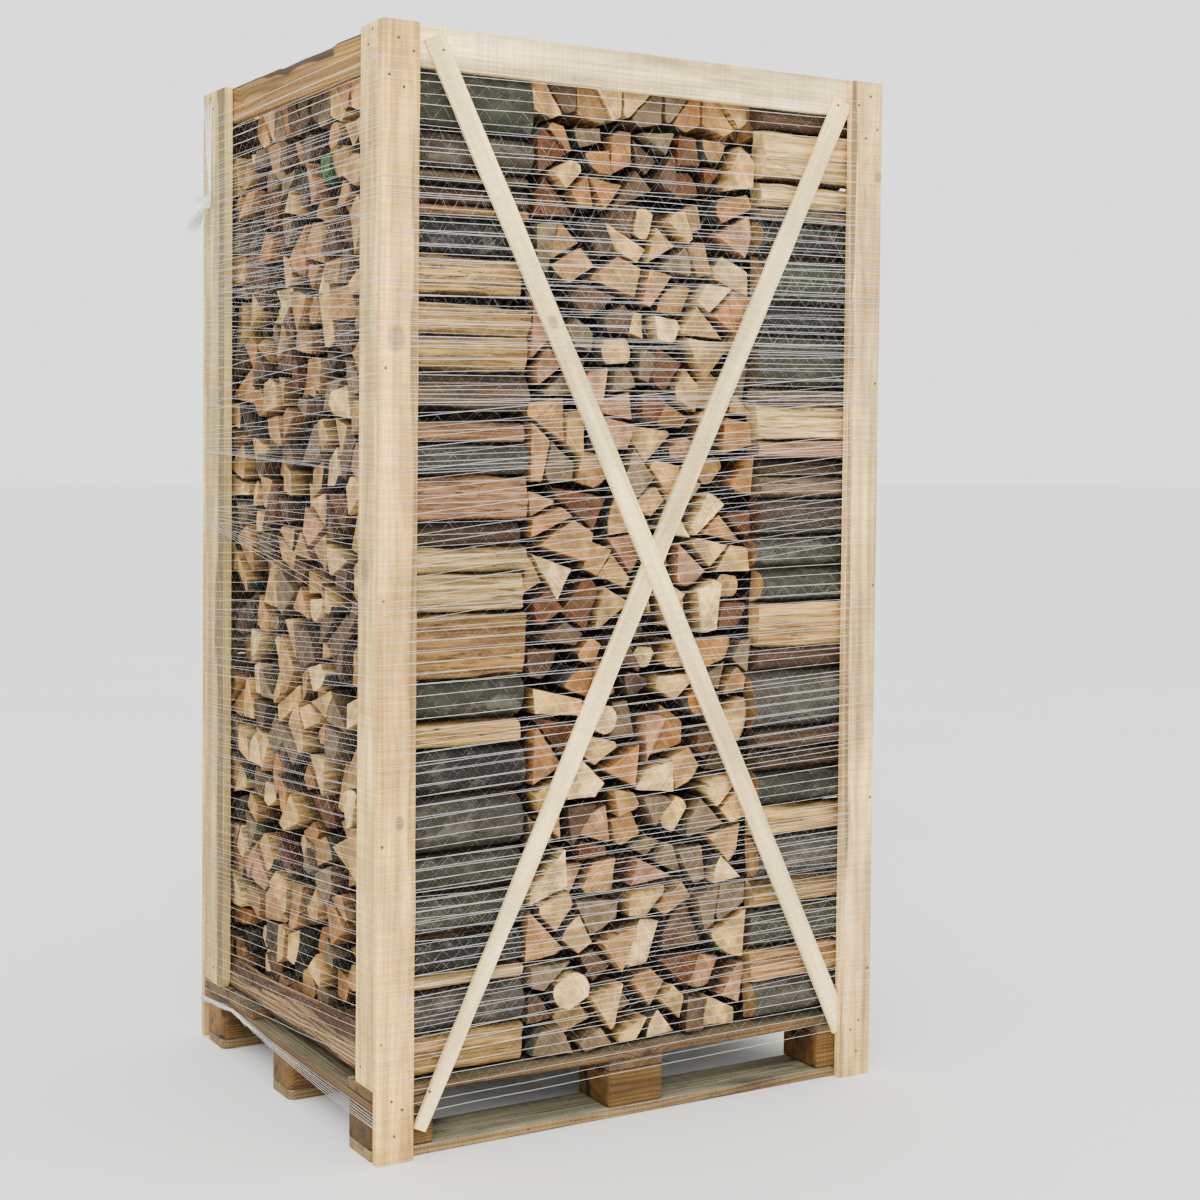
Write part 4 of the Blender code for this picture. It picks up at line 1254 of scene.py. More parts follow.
def back_rows(seed: int) -> tuple[tuple[float, float, Form, Tone, Tone], ...]:
    """Side-on logs of a column's unseen back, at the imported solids' heights.

    Args:
        seed: Seed of the draws.

    Returns:
        Low and high height, form, tone of the wood and tone of the bark of each log.
    """
    rng = Random(seed)
    look = Random(seed + 7)
    rows = []
    bottom = LOG_BOTTOM + 0.010
    highest = HEIGHT - TOP_RAIL_HEIGHT - 0.006
    while bottom < CORE_TOP - 0.075:
        top = min(bottom + rng.uniform(0.075, 0.135), highest)
        form = Form[rng.choice(("BARK", "BARK", "SPLIT", "WEDGE"))]
        wood, bark = look.choice((BEIGE, TAN, CREAM, BROWN)), look.choice(BARKS)
        rows.append((bottom, top, form, wood, bark))
        bottom = top + 0.005
    low, _, *kind = rows[-1]
    rows[-1] = (low, highest + 0.030, *kind)
    return tuple(rows)


def top_outlines(rng: Random, low_u: float, high_u: float) -> list[Array]:
    """Sections of the logs that lie side by side on top of a column.

    Args:
        rng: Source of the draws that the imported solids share.
        low_u: Where the first log starts.
        high_u: Where the last one ends at most.

    Returns:
        Their outlines.
    """
    outlines = []
    left = low_u
    while left < high_u - 0.085:
        right = min(left + rng.uniform(0.085, 0.120), high_u)
        height = rng.uniform(0.060, 0.078)
        ridge = left + (right - left) * rng.uniform(0.3, 0.7)
        shoulder = CORE_TOP + height - height * rng.uniform(0.35, 0.8) * 0.15
        sag = Random(int(left * 10000))
        foot = left + (right - left) * sag.uniform(0.3, 0.7)
        edges = [CORE_TOP - 0.010 + sag.uniform(-0.008, 0.016) for _ in range(2)]
        lower = [(left, edges[0]), (foot, STACK_TOP + 0.002), (right, edges[1])]
        upper = [(right, shoulder), (ridge, CORE_TOP + height), (left, shoulder)]
        outlines.append(np.array(lower + upper))
        left = right + 0.005
    return outlines


@dataclass
class TopLogs:
    """Full-length logs on top of a column."""

    name: str
    node: str
    axis: str
    spans: list[tuple[Array, float, float]]

    def build(self, finishes: list[Material]) -> None:
        """Make every log of the layer as two splits, some with bark far from their pith.

        Args:
            finishes: Materials of the sawn ends, the split faces and the bark.
        """
        halves = []
        for index, (whole, start, end) in enumerate(self.spans):
            rng = Random(index * 17 + len(self.spans))
            normal = heading(rng.choice((0.55, 2.59)) + rng.uniform(-0.3, 0.3))
            middle = whole.mean(axis=0)
            for way in (normal, -normal):
                halves.append((inset_outline(clip_outline(whole, middle, way), 0.0011), start, end))
        shells = Shells()
        for index, (outline, start, end) in enumerate(halves):
            rng = Random(index * 17 + len(halves))
            foot = outline[rng.randrange(len(outline))]
            radius = 1.0
            if rng.random() < 0.55:
                radius = float(np.linalg.norm(outline - foot, axis=1).max()) * 0.95
                outline = circle_clip(outline, foot, radius)
            shape = LogShape(
                ring_of(outline, 0.010, 0.0030), foot, radius,
                start + math.copysign(0.004 + rng.uniform(0.0, 0.014), end - start),
                end - math.copysign(0.006, end - start),
                5200 + index, rows=14, rough=0.0022,
                cut_start=slants(rng, 0.06), cut_end=slants(rng, 0.06),
            )
            points, looks = shape.loops()
            wood, bark = pick_tone(rng, WOOD_TONES), pick_tone(rng, BARK_TONES)
            shells.add(seen_from(points, self.axis), looks, wood, bark, (radius, rng.random(), rng.random()))
        shells.build(self.name, finishes, "beech", self.node)


@dataclass
class Heart:
    """Unseen inner logs of a column as one dark block behind those that show, coloured near black as painted
    shade.
    """

    name: str
    node: str
    low: Place
    high: Place
    uneven: float = 0.004

    def build(self, finish: Material) -> None:
        """Make the block as loops along Z whose sides move in by a ripple of up to twice 4 mm.

        Args:
            finish: Its material.
        """
        (low_x, low_y, low_z), (high_x, high_y, high_z) = self.low, self.high
        corners = np.array([(low_x, low_y), (high_x, low_y), (high_x, high_y), (low_x, high_y)])
        ring = ring_of(corners, 0.05, 0.01)
        outward = ring - ring.mean(axis=0)
        widths = np.concatenate([[0.5], np.ones(24), [0.5]])
        levels = np.concatenate([[low_z], np.linspace(low_z, high_z, 24), [high_z]])
        section = ring.mean(axis=0) + outward[None] * widths[:, None, None]
        place = along_loops(section, levels)
        dent = Ripple(5, (0.08, 0.08, 0.08)).heights(place)[..., None] - 1
        place[..., :2] += unit(outward)[None] * dent * self.uneven
        shells = Shells()
        shells.add(plain_loops(place))
        shells.build(self.name, [finish], "beech", self.node)


@dataclass
class LogColumns:
    """The three columns of stacked logs."""

    finishes: list[Material]
    heart_finish: Material

    def outer(self, label: str, side: int, seed: int, front: tuple, column_end: float) -> None:
        """Build an outer column, whose log ends show on the short side.

        Args:
            label: Which column it is.
            side: -1 for the left and 1 for the right one.
            seed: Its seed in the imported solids.
            front: Rows of its side-on logs at the front.
            column_end: Where it meets the middle column.
        """
        node = f"logs_{label}"
        rng = Random(seed)
        area = (-END_HALF, END_HALF, LOG_BOTTOM + STACK_FOOT, STACK_TOP)
        seen = side < 0
        spacing, largest = (SEEN_SPACING, END_LARGEST) if seen else (HIDDEN_SPACING, HIDDEN_LARGEST)
        EndStack(
            f"{node}_ends", node, "X", side, seed + 1, area, spacing, largest, LOG_REACH_X,
            recess=0.024, deep_share=0.16, shrink=(0.86, 1.0), light=0.77, tones=SIDE_WOOD_TONES,
            behind_low_rail=True, paint_at=(-0.106, 1.951) if seen else None,
        ).build(self.finishes)
        light = (0.56, 0.80) if seen else (0.80, 1.0)
        for where, way, rows in (("front", -1, front), ("back", 1, back_rows(seed + 2))):
            name = f"{node}_{where}_row"
            SideRow(name, node, side, way, column_end, rows, rng, light).build(self.finishes)
        spans = []
        reach = LOG_REACH_X - BOARD_THICKNESS - RAIL_CLEARANCE
        for outline in top_outlines(rng, -END_HALF, END_HALF):
            inner = column_end + side * rng.uniform(0.002, 0.020)
            spans.append((outline, inner, side * (reach - rng.uniform(0, 0.015))))
        TopLogs(f"{node}_top", node, "X", spans).build(self.finishes)
        low_x, high_x = sorted((side * (LOG_REACH_X - STUB), column_end + side * 0.030))
        self.heart(node, (low_x, high_x), 0.41)

    def middle(self) -> None:
        """Build the middle column, whose log ends show at the front and the back."""
        node = "logs_middle"
        rng = Random(MIDDLE_SEED)
        low_x = LEFT_COLUMN_END + GAP
        high_x = RIGHT_COLUMN_END - GAP
        area = (low_x + STACK_FOOT, high_x - STACK_FOOT, LOG_BOTTOM + STACK_FOOT, STACK_TOP)
        faces = (("front", -1, SEEN_SPACING, FRONT_LARGEST), ("back", 1, HIDDEN_SPACING, HIDDEN_LARGEST))
        for where, side, spacing, largest in faces:
            name, seed = f"{node}_{where}_ends", MIDDLE_SEED + side
            ends = EndStack(name, node, "Y", side, seed, area, spacing, largest, LOG_REACH_Y)
            ends.build(self.finishes)
        row_gap = 0.012
        row_length = 2 * (INNER_Y - BOARD_THICKNESS - RAIL_CLEARANCE - row_gap) / 3
        spans = []
        for row in (-1, 0, 1):
            middle = row * (row_length + row_gap)
            for outline in top_outlines(rng, low_x + 0.006, high_x - 0.006):
                spans.append((outline, middle - row_length / 2, middle + row_length / 2))
        TopLogs(f"{node}_top", node, "Y", spans).build(self.finishes)
        self.heart(node, (low_x + 0.004, high_x - 0.004), LOG_REACH_Y - STUB)

    def heart(self, node: str, span: Pair, deep: float) -> None:
        """Build a column's dark inner block over a span of X, as deep each way along Y."""
        low = (span[0], -deep, LOG_BOTTOM + 0.003)
        Heart(f"{node}_inner", node, low, (span[1], deep, CORE_TOP - 0.02)).build(self.heart_finish)

    def build(self) -> None:
        """Build all three columns."""
        self.outer("left", -1, LEFT_SEED, FRONT_LEFT, LEFT_COLUMN_END)
        self.outer("right", 1, RIGHT_SEED, FRONT_RIGHT, RIGHT_COLUMN_END)
        self.middle()


# Boards


@dataclass(frozen=True)
class Wane:
    """Bark-side corner along a board, which cuts the section's corner and shows darker wood.

    A point at distances a and b from the corner's two faces is inside the cut where
    1 - a / reach_a - b / reach_b is above 0, and moves in by half of that share of each reach.
    """

    ends: tuple[int, int]
    reach: Pair
    spread: float = 0.35
    seed: int = 1
    patch: Pair = (0.0, 0.0)
    patch_gain: float = 0.0
    dark: float = 1.0


def section_ring(wide: float, tall: float, edge: float) -> tuple[Array, Array, Array]:
    """Points round a rectangle with rounded edges.

    Args:
        wide: Its extent along the first axis.
        tall: Its extent along the second axis.
        edge: Radius of its edges.

    Returns:
        Points of shape (n, 2) from the low corner, outward normals, and the side that each
        step lies on, from 0 for the lower one round to 3.
    """
    shares = np.array([0.0, 0.07, 0.18, 0.34, 0.5, 0.66, 0.82, 0.93, 1.0])[None, :, None]
    corners = np.array([(0, 0), (wide, 0), (wide, tall), (0, tall)], dtype=float)
    ways = np.array([(1, 0), (0, 1), (-1, 0), (0, -1)], dtype=float)
    normals = np.roll(ways, 1, axis=0)
    turned = (ways + normals) / math.sqrt(2)
    start, stop = corners + ways * edge, np.roll(corners, -1, axis=0) - ways * edge
    flat = start[:, None] + shares * (stop - start)[:, None]
    rounded = stop - normals * edge + turned * edge
    points = np.concatenate([flat, rounded[:, None]], axis=1)
    outward = np.concatenate([np.repeat(normals[:, None], 9, axis=1), turned[:, None]], axis=1)
    return points.reshape(-1, 2), outward.reshape(-1, 2), np.repeat(np.arange(4), 10)


@dataclass
class Plank:
    """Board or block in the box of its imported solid, with rounded edges and uneven faces.

    Its first finish is on the wide sides, and a second one on the narrow sides and the ends. Round
    ends narrow it to quarter circles seen from above, of radius r - sqrt(r * r - gap * gap) lost.
    """

    name: str
    slot: str
    finishes: list[Material]
    seed: int
    wanes: tuple[Wane, ...] = ()
    tint: Colour = PLAIN
    edge: float = 0.0016
    uneven: float = 0.0007
    spots: tuple[Place, ...] = ()
    chip: Pair | None = None
    round_ends: Pair = (0.0, 0.0)
    top_line: Array | None = None

    def stations(self, length: float) -> tuple[Array, Array]:
        """Places of the loops along the board, with more of them where an end is chipped or round.

        Args:
            length: Length of the board.

        Returns:
            Rising distances from 0 to the length, and how far in each loop's faces lie.
        """
        rim = 0.0016 / length
        steps = max(5, math.ceil(length / 0.045))
        shares = [0.0, 0.0, rim, *np.linspace(0.0, 1.0, steps)[1:-1], 1 - rim, 1.0, 1.0]
        if self.chip:
            shares.extend(np.linspace(0.15, 1.0, 6) * self.chip[1] / length)
        if any(self.round_ends):
            arc = max(self.round_ends) * (1 - np.cos(np.linspace(0.2, math.pi / 2, 7))) / length
            shares.extend([*arc, *(1 - arc)])
        shares = np.sort(shares)
        return shares * length, np.interp(shares, [0.0, rim, 1 - rim, 1.0], [0.0012, 0.0, 0.0, 0.0012])

    def build(self) -> None:
        """Make the board."""
        low, high = (np.array(corner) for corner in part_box(self.name))
        size = high - low
        along = int(size.argmax())
        across = [axis for axis in range(3) if axis != along]
        extent = size[across]
        ring, normals, sides = section_ring(*extent, self.edge)
        t, inset = self.stations(size[along])
        section = np.repeat(ring[None], len(t), axis=0)
        span = along_loops(section, t)
        wavy = Ripple(self.seed, (0.05, 0.05, 0.30)).heights(span)
        rough = Ripple(self.seed + 9, (0.012, 0.012, 0.05)).heights(span)
        depth = self.uneven * (1 + 0.6 * wavy + 0.4 * rough) / 2 + inset[:, None]
        section = section - normals[None] * depth[..., None]
        section[[0, -1]] = extent / 2 + (section[[0, -1]] - extent / 2) * 0.8
        half = extent[0] / 2
        for radius, away in zip(self.round_ends, (t, size[along] - t)):
            lost = radius - np.sqrt(np.maximum(radius**2 - np.clip(radius - away, 0.0, radius) ** 2, 0.0))
            section[..., 0] = half + (section[..., 0] - half) * (1 - lost / half)[:, None]
        wane_and_shade = np.zeros(section.shape[:2])
        for wane in self.wanes:
            section, wane_and_shade = self.cut_wane(wane, section, wane_and_shade, extent, t)
        if self.chip:
            keep = self.chip[0] * np.clip(1 - t / self.chip[1], 0.0, 1.0)
            section[..., 1] = np.maximum(section[..., 1], keep[:, None])
        if self.top_line is not None:
            heights = np.interp(t + low[along], *self.top_line.T) - low[across[1]]
            ragged = Ripple(self.seed + 4, (0.03, 0.03, 0.07)).heights(span) * 0.0022 - 0.0022
            share = section[..., 1] / extent[1]
            section[..., 1] *= (heights[:, None] + ragged * share) / extent[1]
        world = np.zeros((*section.shape[:2], 3))
        world[..., across] = section + low[across]
        world[..., along] = t[:, None] + low[along]
        rng = Random(self.seed)
        wide = int(extent.argmax())
        pith = np.zeros(2)
        pith[wide] = extent[wide] * rng.uniform(0.15, 0.85)
        pith[1 - wide] = rng.choice((-1, 1)) * rng.uniform(0.035, 0.085)
        drift = np.array([rng.uniform(-0.012, 0.012), rng.uniform(-0.016, 0.016)])
        grain_start = rng.uniform(0, 60)
        grain = along_loops(section - pith - drift * t[:, None, None], t + grain_start)
        marks = [NOWHERE, NOWHERE]
        for index, spot in enumerate(self.spots):
            place = np.array(spot) - low
            marks[index] = (*(place[across] - pith - drift * place[along]), place[along] + grain_start)
        second = len(self.finishes) - 1
        narrow = sides % 2 == int(extent[0] > extent[1])
        looks = np.tile(narrow * second, (len(t) - 1, 1))
        looks[[0, -1]] = second
        shells = Shells()
        loops = np.concatenate([world, grain, wane_and_shade[..., None]], axis=-1)
        shells.add(loops, looks, self.tint, marks[1], marks[0])
        shells.build(self.name, self.finishes, self.slot, self.name, sharp=60.0)

    def cut_wane(
        self, wane: Wane, section: Array, wane_and_shade: Array, extent: Array, t: Array
    ) -> tuple[Array, Array]:
        """Cut one waney corner, whose reach wavers along the board.

        Args:
            wane: The corner.
            section: Points of each loop.
            wane_and_shade: Their wane darkening so far.
            extent: The section's two sizes.
            t: Place of each loop along the board.

        Returns:
            New points and wane darkening.
        """
        line = np.stack([t, np.zeros_like(t)], axis=-1)
        waver = 1 + wane.spread * Ripple(self.seed + wane.seed, (0.35, 1.0)).heights(line)
        edges = [wane.patch[0] - 0.03, *wane.patch, wane.patch[1] + 0.03]
        waver = waver * (1 + wane.patch_gain * np.interp(t, edges, [0.0, 1.0, 1.0, 0.0]))
        reach = (np.array(wane.reach) * waver[:, None])[:, None]
        corner = np.where(np.array(wane.ends) > 0, extent, 0.0)
        inward = -np.array(wane.ends)
        share = 1 - ((section - corner) * inward / reach).sum(axis=-1)
        section = section + inward * np.clip(share, 0.0, 1.0)[..., None] * reach / 2
        return section, np.maximum(wane_and_shade, np.clip(share * 4 + 0.5, 0.0, 1.0) * wane.dark)


@dataclass
class Lath:
    """Thin lath aslant over the front or back, trimmed along the posts.

    A point at the share s of its line, a across it, lies at start + along * t + across * a, where
    t runs between the places at which that line meets the trims. It bows out by the bow times
    sin(pi * share of the height).
    """

    name: str
    side: int
    ends: tuple[Pair, Pair]
    foot_width: float
    bow: float
    seed: int
    spot: Pair | None = None
    width: float = 0.046
    thickness: float = 0.010
    taper_share: float = 0.35

    def build(self, finish: Material) -> None:
        """Make the lath.

        Args:
            finish: Its material.
        """
        start, stop = np.array(self.ends)
        length = float(np.linalg.norm(stop - start))
        along = (stop - start) / length
        across = np.array([-along[1], along[0]])
        offset, deep = (section_ring(1.0, 1.0, 0.0)[0] - 0.5).T
        shares = np.concatenate([[0.0], np.linspace(0.0, 1.0, 52), [1.0]])
        shrink = np.concatenate([[0.6], np.ones(52), [0.6]])[:, None]
        widening = np.minimum(1.0, shares / self.taper_share)
        half = (self.foot_width + (self.width - self.foot_width) * widening)[:, None] / 2
        grid = np.stack(np.meshgrid(shares, offset, indexing="ij"), axis=-1)
        waver = Ripple(self.seed, (0.22, 3.0)).heights(grid * np.array([length, 1.0])) * 0.0012
        a = 2 * offset[None] * (half * shrink - 0.0014 + waver)
        trim = HALF_X - BOARD_WIDTH - GAP - 0.0003
        limits = np.stack([(edge - start[0] - across[0] * a) / along[0] for edge in (-trim, trim)])
        first, last = np.clip([limits.min(axis=0), limits.max(axis=0)], 0.0, length)
        t = first + (last - first) * shares[:, None]
        x, z = (start[axis] + along[axis] * t + across[axis] * a for axis in (0, 1))
        rim = 1 - 0.12 * (np.abs(offset) > 0.499) * (np.abs(deep) > 0.499)
        own_depth = deep * (self.thickness - 0.0006) * rim * shrink
        lift = self.bow * np.sin(np.pi * np.clip((z - start[1]) / (stop[1] - start[1]), 0.0, 1.0))
        y = self.side * (INNER_Y + GAP + self.thickness / 2 + own_depth + lift)
        rng = Random(self.seed)
        pith = np.array([rng.uniform(-0.01, 0.01), rng.choice((-1, 1)) * rng.uniform(0.03, 0.06)])
        grain_start = rng.uniform(0, 60)
        spot = NOWHERE
        if self.spot:
            flat = np.array(self.spot) - start
            spot = (flat @ across - pith[0], self.thickness / 2 - pith[1], flat @ along + grain_start)
        channels = [x, y, z, a - pith[0], own_depth - pith[1], t + grain_start, np.zeros(x.shape)]
        shells = Shells()
        shells.add(np.stack(channels, axis=-1), facts=spot)
        shells.build(self.name, [finish], "laths", self.name, sharp=50.0)


@dataclass
class NailHeads:
    """Round nail heads a little proud of the boards, as low domes of three loops each."""

    name: str
    places: list[Place]
    facing: tuple[int, int]
    radius: float = 0.0030
    dome: tuple[Pair, ...] = ((1.0, -0.0012), (1.0, 0.0003), (0.62, 0.0008))

    def build(self, finish: Material) -> None:
        """Make the heads, each loop a share of the radius wide and a little further out.

        Args:
            finish: Its material.
        """
        out = np.array([*self.facing, 0.0])
        sideways = np.array([-out[1], out[0], 0.0])
        angles = np.linspace(0, 2 * np.pi, 14, endpoint=False)[:, None]
        circle = np.cos(angles) * sideways + np.sin(angles) * UP
        shells = Shells()
        for place in self.places:
            loops = [np.array(place) + circle * self.radius * wide + out * rise for wide, rise in self.dome]
            shells.add(plain_loops(np.stack(loops)))
        shells.build(self.name, [finish], "pine", sharp=50.0)


@dataclass
class Boards:
    """Posts, rails, laths and the pallet."""

    pine: Material
    brown: Material
    rough: Material
    pallet: Material
    weathered: Material
    lath: Material
    steel: Material

    def posts(self) -> None:
        """Build the four corner posts of two boards each."""
        warm, grey = (0.92, 0.83, 0.64), (0.85, 0.88, 0.78)
        details = {
            "post_front_left_front_board": {
                "wanes": (Wane((1, -1), (0.018, 0.006), dark=0.24),),
                "tint": warm,
                "spots": ((-0.555, -0.500, 0.664), (-0.568, -0.500, 1.596)),
            },
            "post_front_left_side_board": {
                "tint": grey,
                "spots": ((-0.600, -0.490, 1.163), (-0.600, -0.431, 1.146)),
            },
            "post_back_left_side_board": {
                "tint": (0.62, 0.71, 0.70),
                "wanes": (Wane((-1, -1), (0.002, 0.040), 0.2),),
                "chip": (0.014, 0.0224),
            },
            "post_back_left_back_board": {"tint": (0.70, 0.72, 0.74)},
            "post_front_right_front_board": {"wanes": (Wane((-1, -1), (0.012, 0.004), 0.5, dark=0.40),)},
        }
        nodes = [
            f"post_{depth}_{place}_{board}_board"
            for depth in ("front", "back")
            for place in ("left", "right")
            for board in (depth, "side")
        ]
        for index, node in enumerate(nodes):
            Plank(node, "pine", [self.pine], 900 + index * 13, **details.get(node, {})).build()

    def rails(self) -> None:
        """Build the top rails and the rough low rails."""
        # Partly painted light: the top rails are paler wood, and whitened further as if brightly lit from
        # above
        pale = {"tint": (1.15, 1.32, 1.75)}
        worn = Wane((-1, 1), (0.003, 0.006), 0.6, 1, (0.262, 0.520), 2.6)
        dark = {"tint": (1.60, 1.68, 1.20), "wanes": (worn,), "uneven": 0.0012}
        for index, place in enumerate(("front", "back", "left", "right")):
            finish, details = (self.brown, dark) if place == "left" else (self.pine, pale)
            Plank(f"top_rail_{place}", "pine", [finish], 1100 + index * 13, **details).build()
        shares = np.linspace(0, 1, 7)
        reach = (INNER_Y - GAP) * (2 * shares - 1)
        first, last = LOW_RAIL_TOP
        for place, side in (("left", -1), ("right", 1)):
            heights = first + (last - first) * shares + 0.003 * np.sin(9.0 * shares + side)
            Plank(
                f"low_rail_{place}", "rough_slab", [self.rough], 1200 + side,
                (Wane((side, 1), (0.008, 0.030), 0.5), Wane((side, -1), (0.005, 0.012), 0.5, 2)),
                tint=(1.35, 1.50, 1.50), uneven=0.0022, top_line=np.stack([reach, heights], axis=-1),
            ).build()

    def pallet_boards(self) -> None:
        """Build skids, blocks, cross boards and deck boards."""
        finishes = [self.weathered, self.pallet]
        places = ("left", "middle", "right")
        for index, row in enumerate(("front", "middle", "back")):
            Plank(
                f"skid_{row}", "weathered", finishes, 1300 + index * 7,
                tint=(1.70, 1.95, 2.30), uneven=0.0014, edge=0.0035, round_ends=(0.018, 0.018),
            ).build()
            for column, place in enumerate(places):
                node = f"block_{row}_{place}"
                Plank(
                    node, "pallet_wood", [self.pallet], 1400 + index * 31 + column * 7,
                    tint=(0.72, 0.70, 0.52) if node == "block_front_left" else (1.05, 0.98, 0.68),
                    edge=0.003, round_ends=((0.018, 0.0), (0.0, 0.0), (0.0, 0.018))[column],
                ).build()
        for index, place in enumerate(places):
            name, seed = f"cross_board_{place}", 1500 + index * 7
            Plank(name, "pallet_wood", finishes, seed, tint=(0.86, 0.90, 1.0), uneven=0.0012).build()
        for index in range(1, 6):
            name, seed = f"deck_board_{index}", 1600 + index * 7
            wanes = (Wane((-1, -1), (0.010, 0.006), 0.8),) if index == 1 else ()
            Plank(name, "weathered", finishes, seed, wanes, uneven=0.0014).build()

    def laths(self) -> None:
        """Build the crossed laths at the front and the back."""
        falling = ((-0.486, 2.179), (0.530, 0.108))
        rising = ((-0.503, 0.054), (0.502, 2.150))
        for index, (place, side) in enumerate((("front", -1), ("back", 1))):
            knot = (-0.224, 1.641) if side < 0 else None
            Lath(f"lath_{place}_falling", side, falling, 0.046, 0.0103, 1700 + index, knot).build(self.lath)
            Lath(f"lath_{place}_rising", side, rising, 0.030, 0.0, 1720 + index).build(self.lath)

    def nails(self) -> None:
        """Build the nail heads on the posts and laths."""
        wide_face = (
            (0.014, 2.094), (0.010, 1.539), (0.008, 1.093), (0.008, 0.621), (0.008, 0.238), (0.033, 2.165),
            (0.065, 2.143), (0.045, 2.073), (0.031, 0.124), (0.053, 0.105), (0.037, 0.055),
        )
        narrow_face = ((0.026, 2.186), (0.046, 2.159), (0.035, 1.968), (0.058, 0.176))
        for place, side in (("front", -1), ("back", 1)):
            heads = [(sign * (HALF_X - off), side * HALF_Y, z) for sign in (-1, 1) for off, z in wide_face]
            lath_face = side * (INNER_Y + GAP + 0.010)
            heads += [(x, lath_face, z) for x, z in ((-0.467, 2.154), (-0.482, 0.127), (0.486, 2.140))]
            NailHeads(f"nails_{place}", heads, (0, side)).build(self.steel)
        for place, side in (("left", -1), ("right", 1)):
            heads = [(side * HALF_X, sign * (INNER_Y - off), z) for sign in (-1, 1) for off, z in narrow_face]
            NailHeads(f"nails_{place}", heads, (side, 0)).build(self.steel)

    def build(self) -> None:
        """Build every board and nail."""
        self.pallet_boards()
        self.posts()
        self.rails()
        self.laths()
        self.nails()


# Net


def tube(path: Array, first: Array, second: Array, radii: Pair, sides: int = 3) -> Array:
    """Loops round a path: path + first * r1 * cos(angle) + second * r2 * sin(angle).

    Args:
        path: Points of shape (rows, 3).
        first: First direction across it, of shape (3,) or (rows, 3).
        second: Second direction across it.
        radii: Radius along each, where each may be an array over the rows.
        sides: Points round it.

    Returns:
        Loops of seven channels.
    """
    angles = (np.linspace(0, 2 * np.pi, sides, endpoint=False) + 0.5)[None, :, None]
    wide, tall = (np.broadcast_to(np.asarray(radius), (len(path),))[:, None, None] for radius in radii)
    one, two = (np.broadcast_to(way, path.shape)[:, None] for way in (first, second))
    return plain_loops(path[:, None] + one * np.cos(angles) * wide + two * np.sin(angles) * tall)


def thread(path: Array, radius: "float | Array", sides: int = 4) -> Array:
    """Round tube along any path, across its local direction.

    Args:
        path: Points of shape (rows, 3).
        radius: Its radius, which may be an array over the rows.
        sides: Points round it.

    Returns:
        Loops of seven channels.
    """
    way = unit(np.gradient(path, axis=0))
    first = unit(np.cross(way, np.array([0.31, 0.22, 0.92])))
    return tube(path, first, np.cross(way, first), (radius, radius), sides)


@dataclass(frozen=True)
class NetSide:
    """One side of the wrap between two corners of the crate."""

    name: str
    start: Place
    way: Place
    out: Place
    length: float
    short: bool

    def path(self, distances: Array, lifts: "Array | float", heights: Array) -> Array:
        """Points over the side: start + way * distance + out * lift + up * height."""
        steps = np.outer(distances, self.way) + np.outer(lifts, self.out)
        return np.array(self.start) + steps + np.outer(heights, UP)


NET_SIDES = (
    NetSide("net_front", (-HALF_X, -HALF_Y, 0), (1, 0, 0), (0, -1, 0), LENGTH, False),
    NetSide("net_right", (HALF_X, -HALF_Y, 0), (0, 1, 0), (1, 0, 0), WIDTH, True),
    NetSide("net_back", (HALF_X, HALF_Y, 0), (-1, 0, 0), (0, 1, 0), LENGTH, False),
    NetSide("net_left", (-HALF_X, HALF_Y, 0), (0, -1, 0), (-1, 0, 0), WIDTH, True),
)
GATHERS = {
    19: (1.212, 0.300, 3.2), 20: (1.035, 0.420, 1.0), 23: (1.374, 0.400, 3.2), 24: (1.335, 0.430, 1.7),
    25: (1.385, 0.430, 1.8), 28: (1.470, 0.430, 1.8), 29: (1.490, 0.430, 1.8), 32: (1.590, 0.440, 1.8),
    33: (1.600, 0.440, 1.8), 36: (1.700, 0.440, 1.0),
}


@dataclass
class Web:
    """One turn of the net over one side: strands with a thin thread between each two."""

    side: NetSide
    pair: Array
    ply: float
    shells: Shells
    rng: Generator
    strand_radius: float
    thread_radius: float
    touch: float = 0.0001
    bend: float = 0.0011
    wave: Pair = (0.0, 0.0205)
    wave_length: float = 0.044

    def lay_strands(self) -> None:
        """Lay the strands over the side, down to the post at both corners."""
        near, length = np.array([0.0, self.bend]), self.side.length
        distances = np.concatenate([near, np.linspace(0.08, length - 0.08, 9), length - near[::-1]])
        lifts = np.array([self.touch, *[self.ply] * 11, self.touch])
        for low, high in self.pair.T:
            wobble = np.concatenate([[0, 0], self.rng.normal(0, 0.0007, 9), [0, 0]])
            path = self.side.path(distances, lifts, low + (high - low) * distances / length + wobble)
            radius = self.strand_radius * self.rng.uniform(0.70, 1.35)
            self.shells.add(tube(path, self.side.out, UP, (0.0004, radius)))

    def run_threads(self) -> None:
        """Run the threads up and down between the strands."""
        periods = int((self.side.length - 0.004) / self.wave_length) - 1
        starts = 0.002 + np.arange(periods) * self.wave_length
        place = (starts[:, None] + np.array(self.wave)).ravel()
        down = np.tile([0.0, 1.0], periods)
        tops = self.pair[0] + (self.pair[1] - self.pair[0]) * (place / self.side.length)[:, None]
        for gap in range(tops.shape[1] - 1):
            share = down if gap % 2 else 1 - down
            heights = tops[:, gap] + (tops[:, gap + 1] - tops[:, gap]) * share
            shift = self.rng.uniform(0, self.wave_length)
            path = self.side.path(place + shift + self.rng.normal(0, 0.0012, len(place)), self.ply, heights)
            radius = self.thread_radius * self.rng.uniform(0.35, 1.50, len(place))
            self.shells.add(tube(path, self.side.out, self.side.way, (radius, radius)))


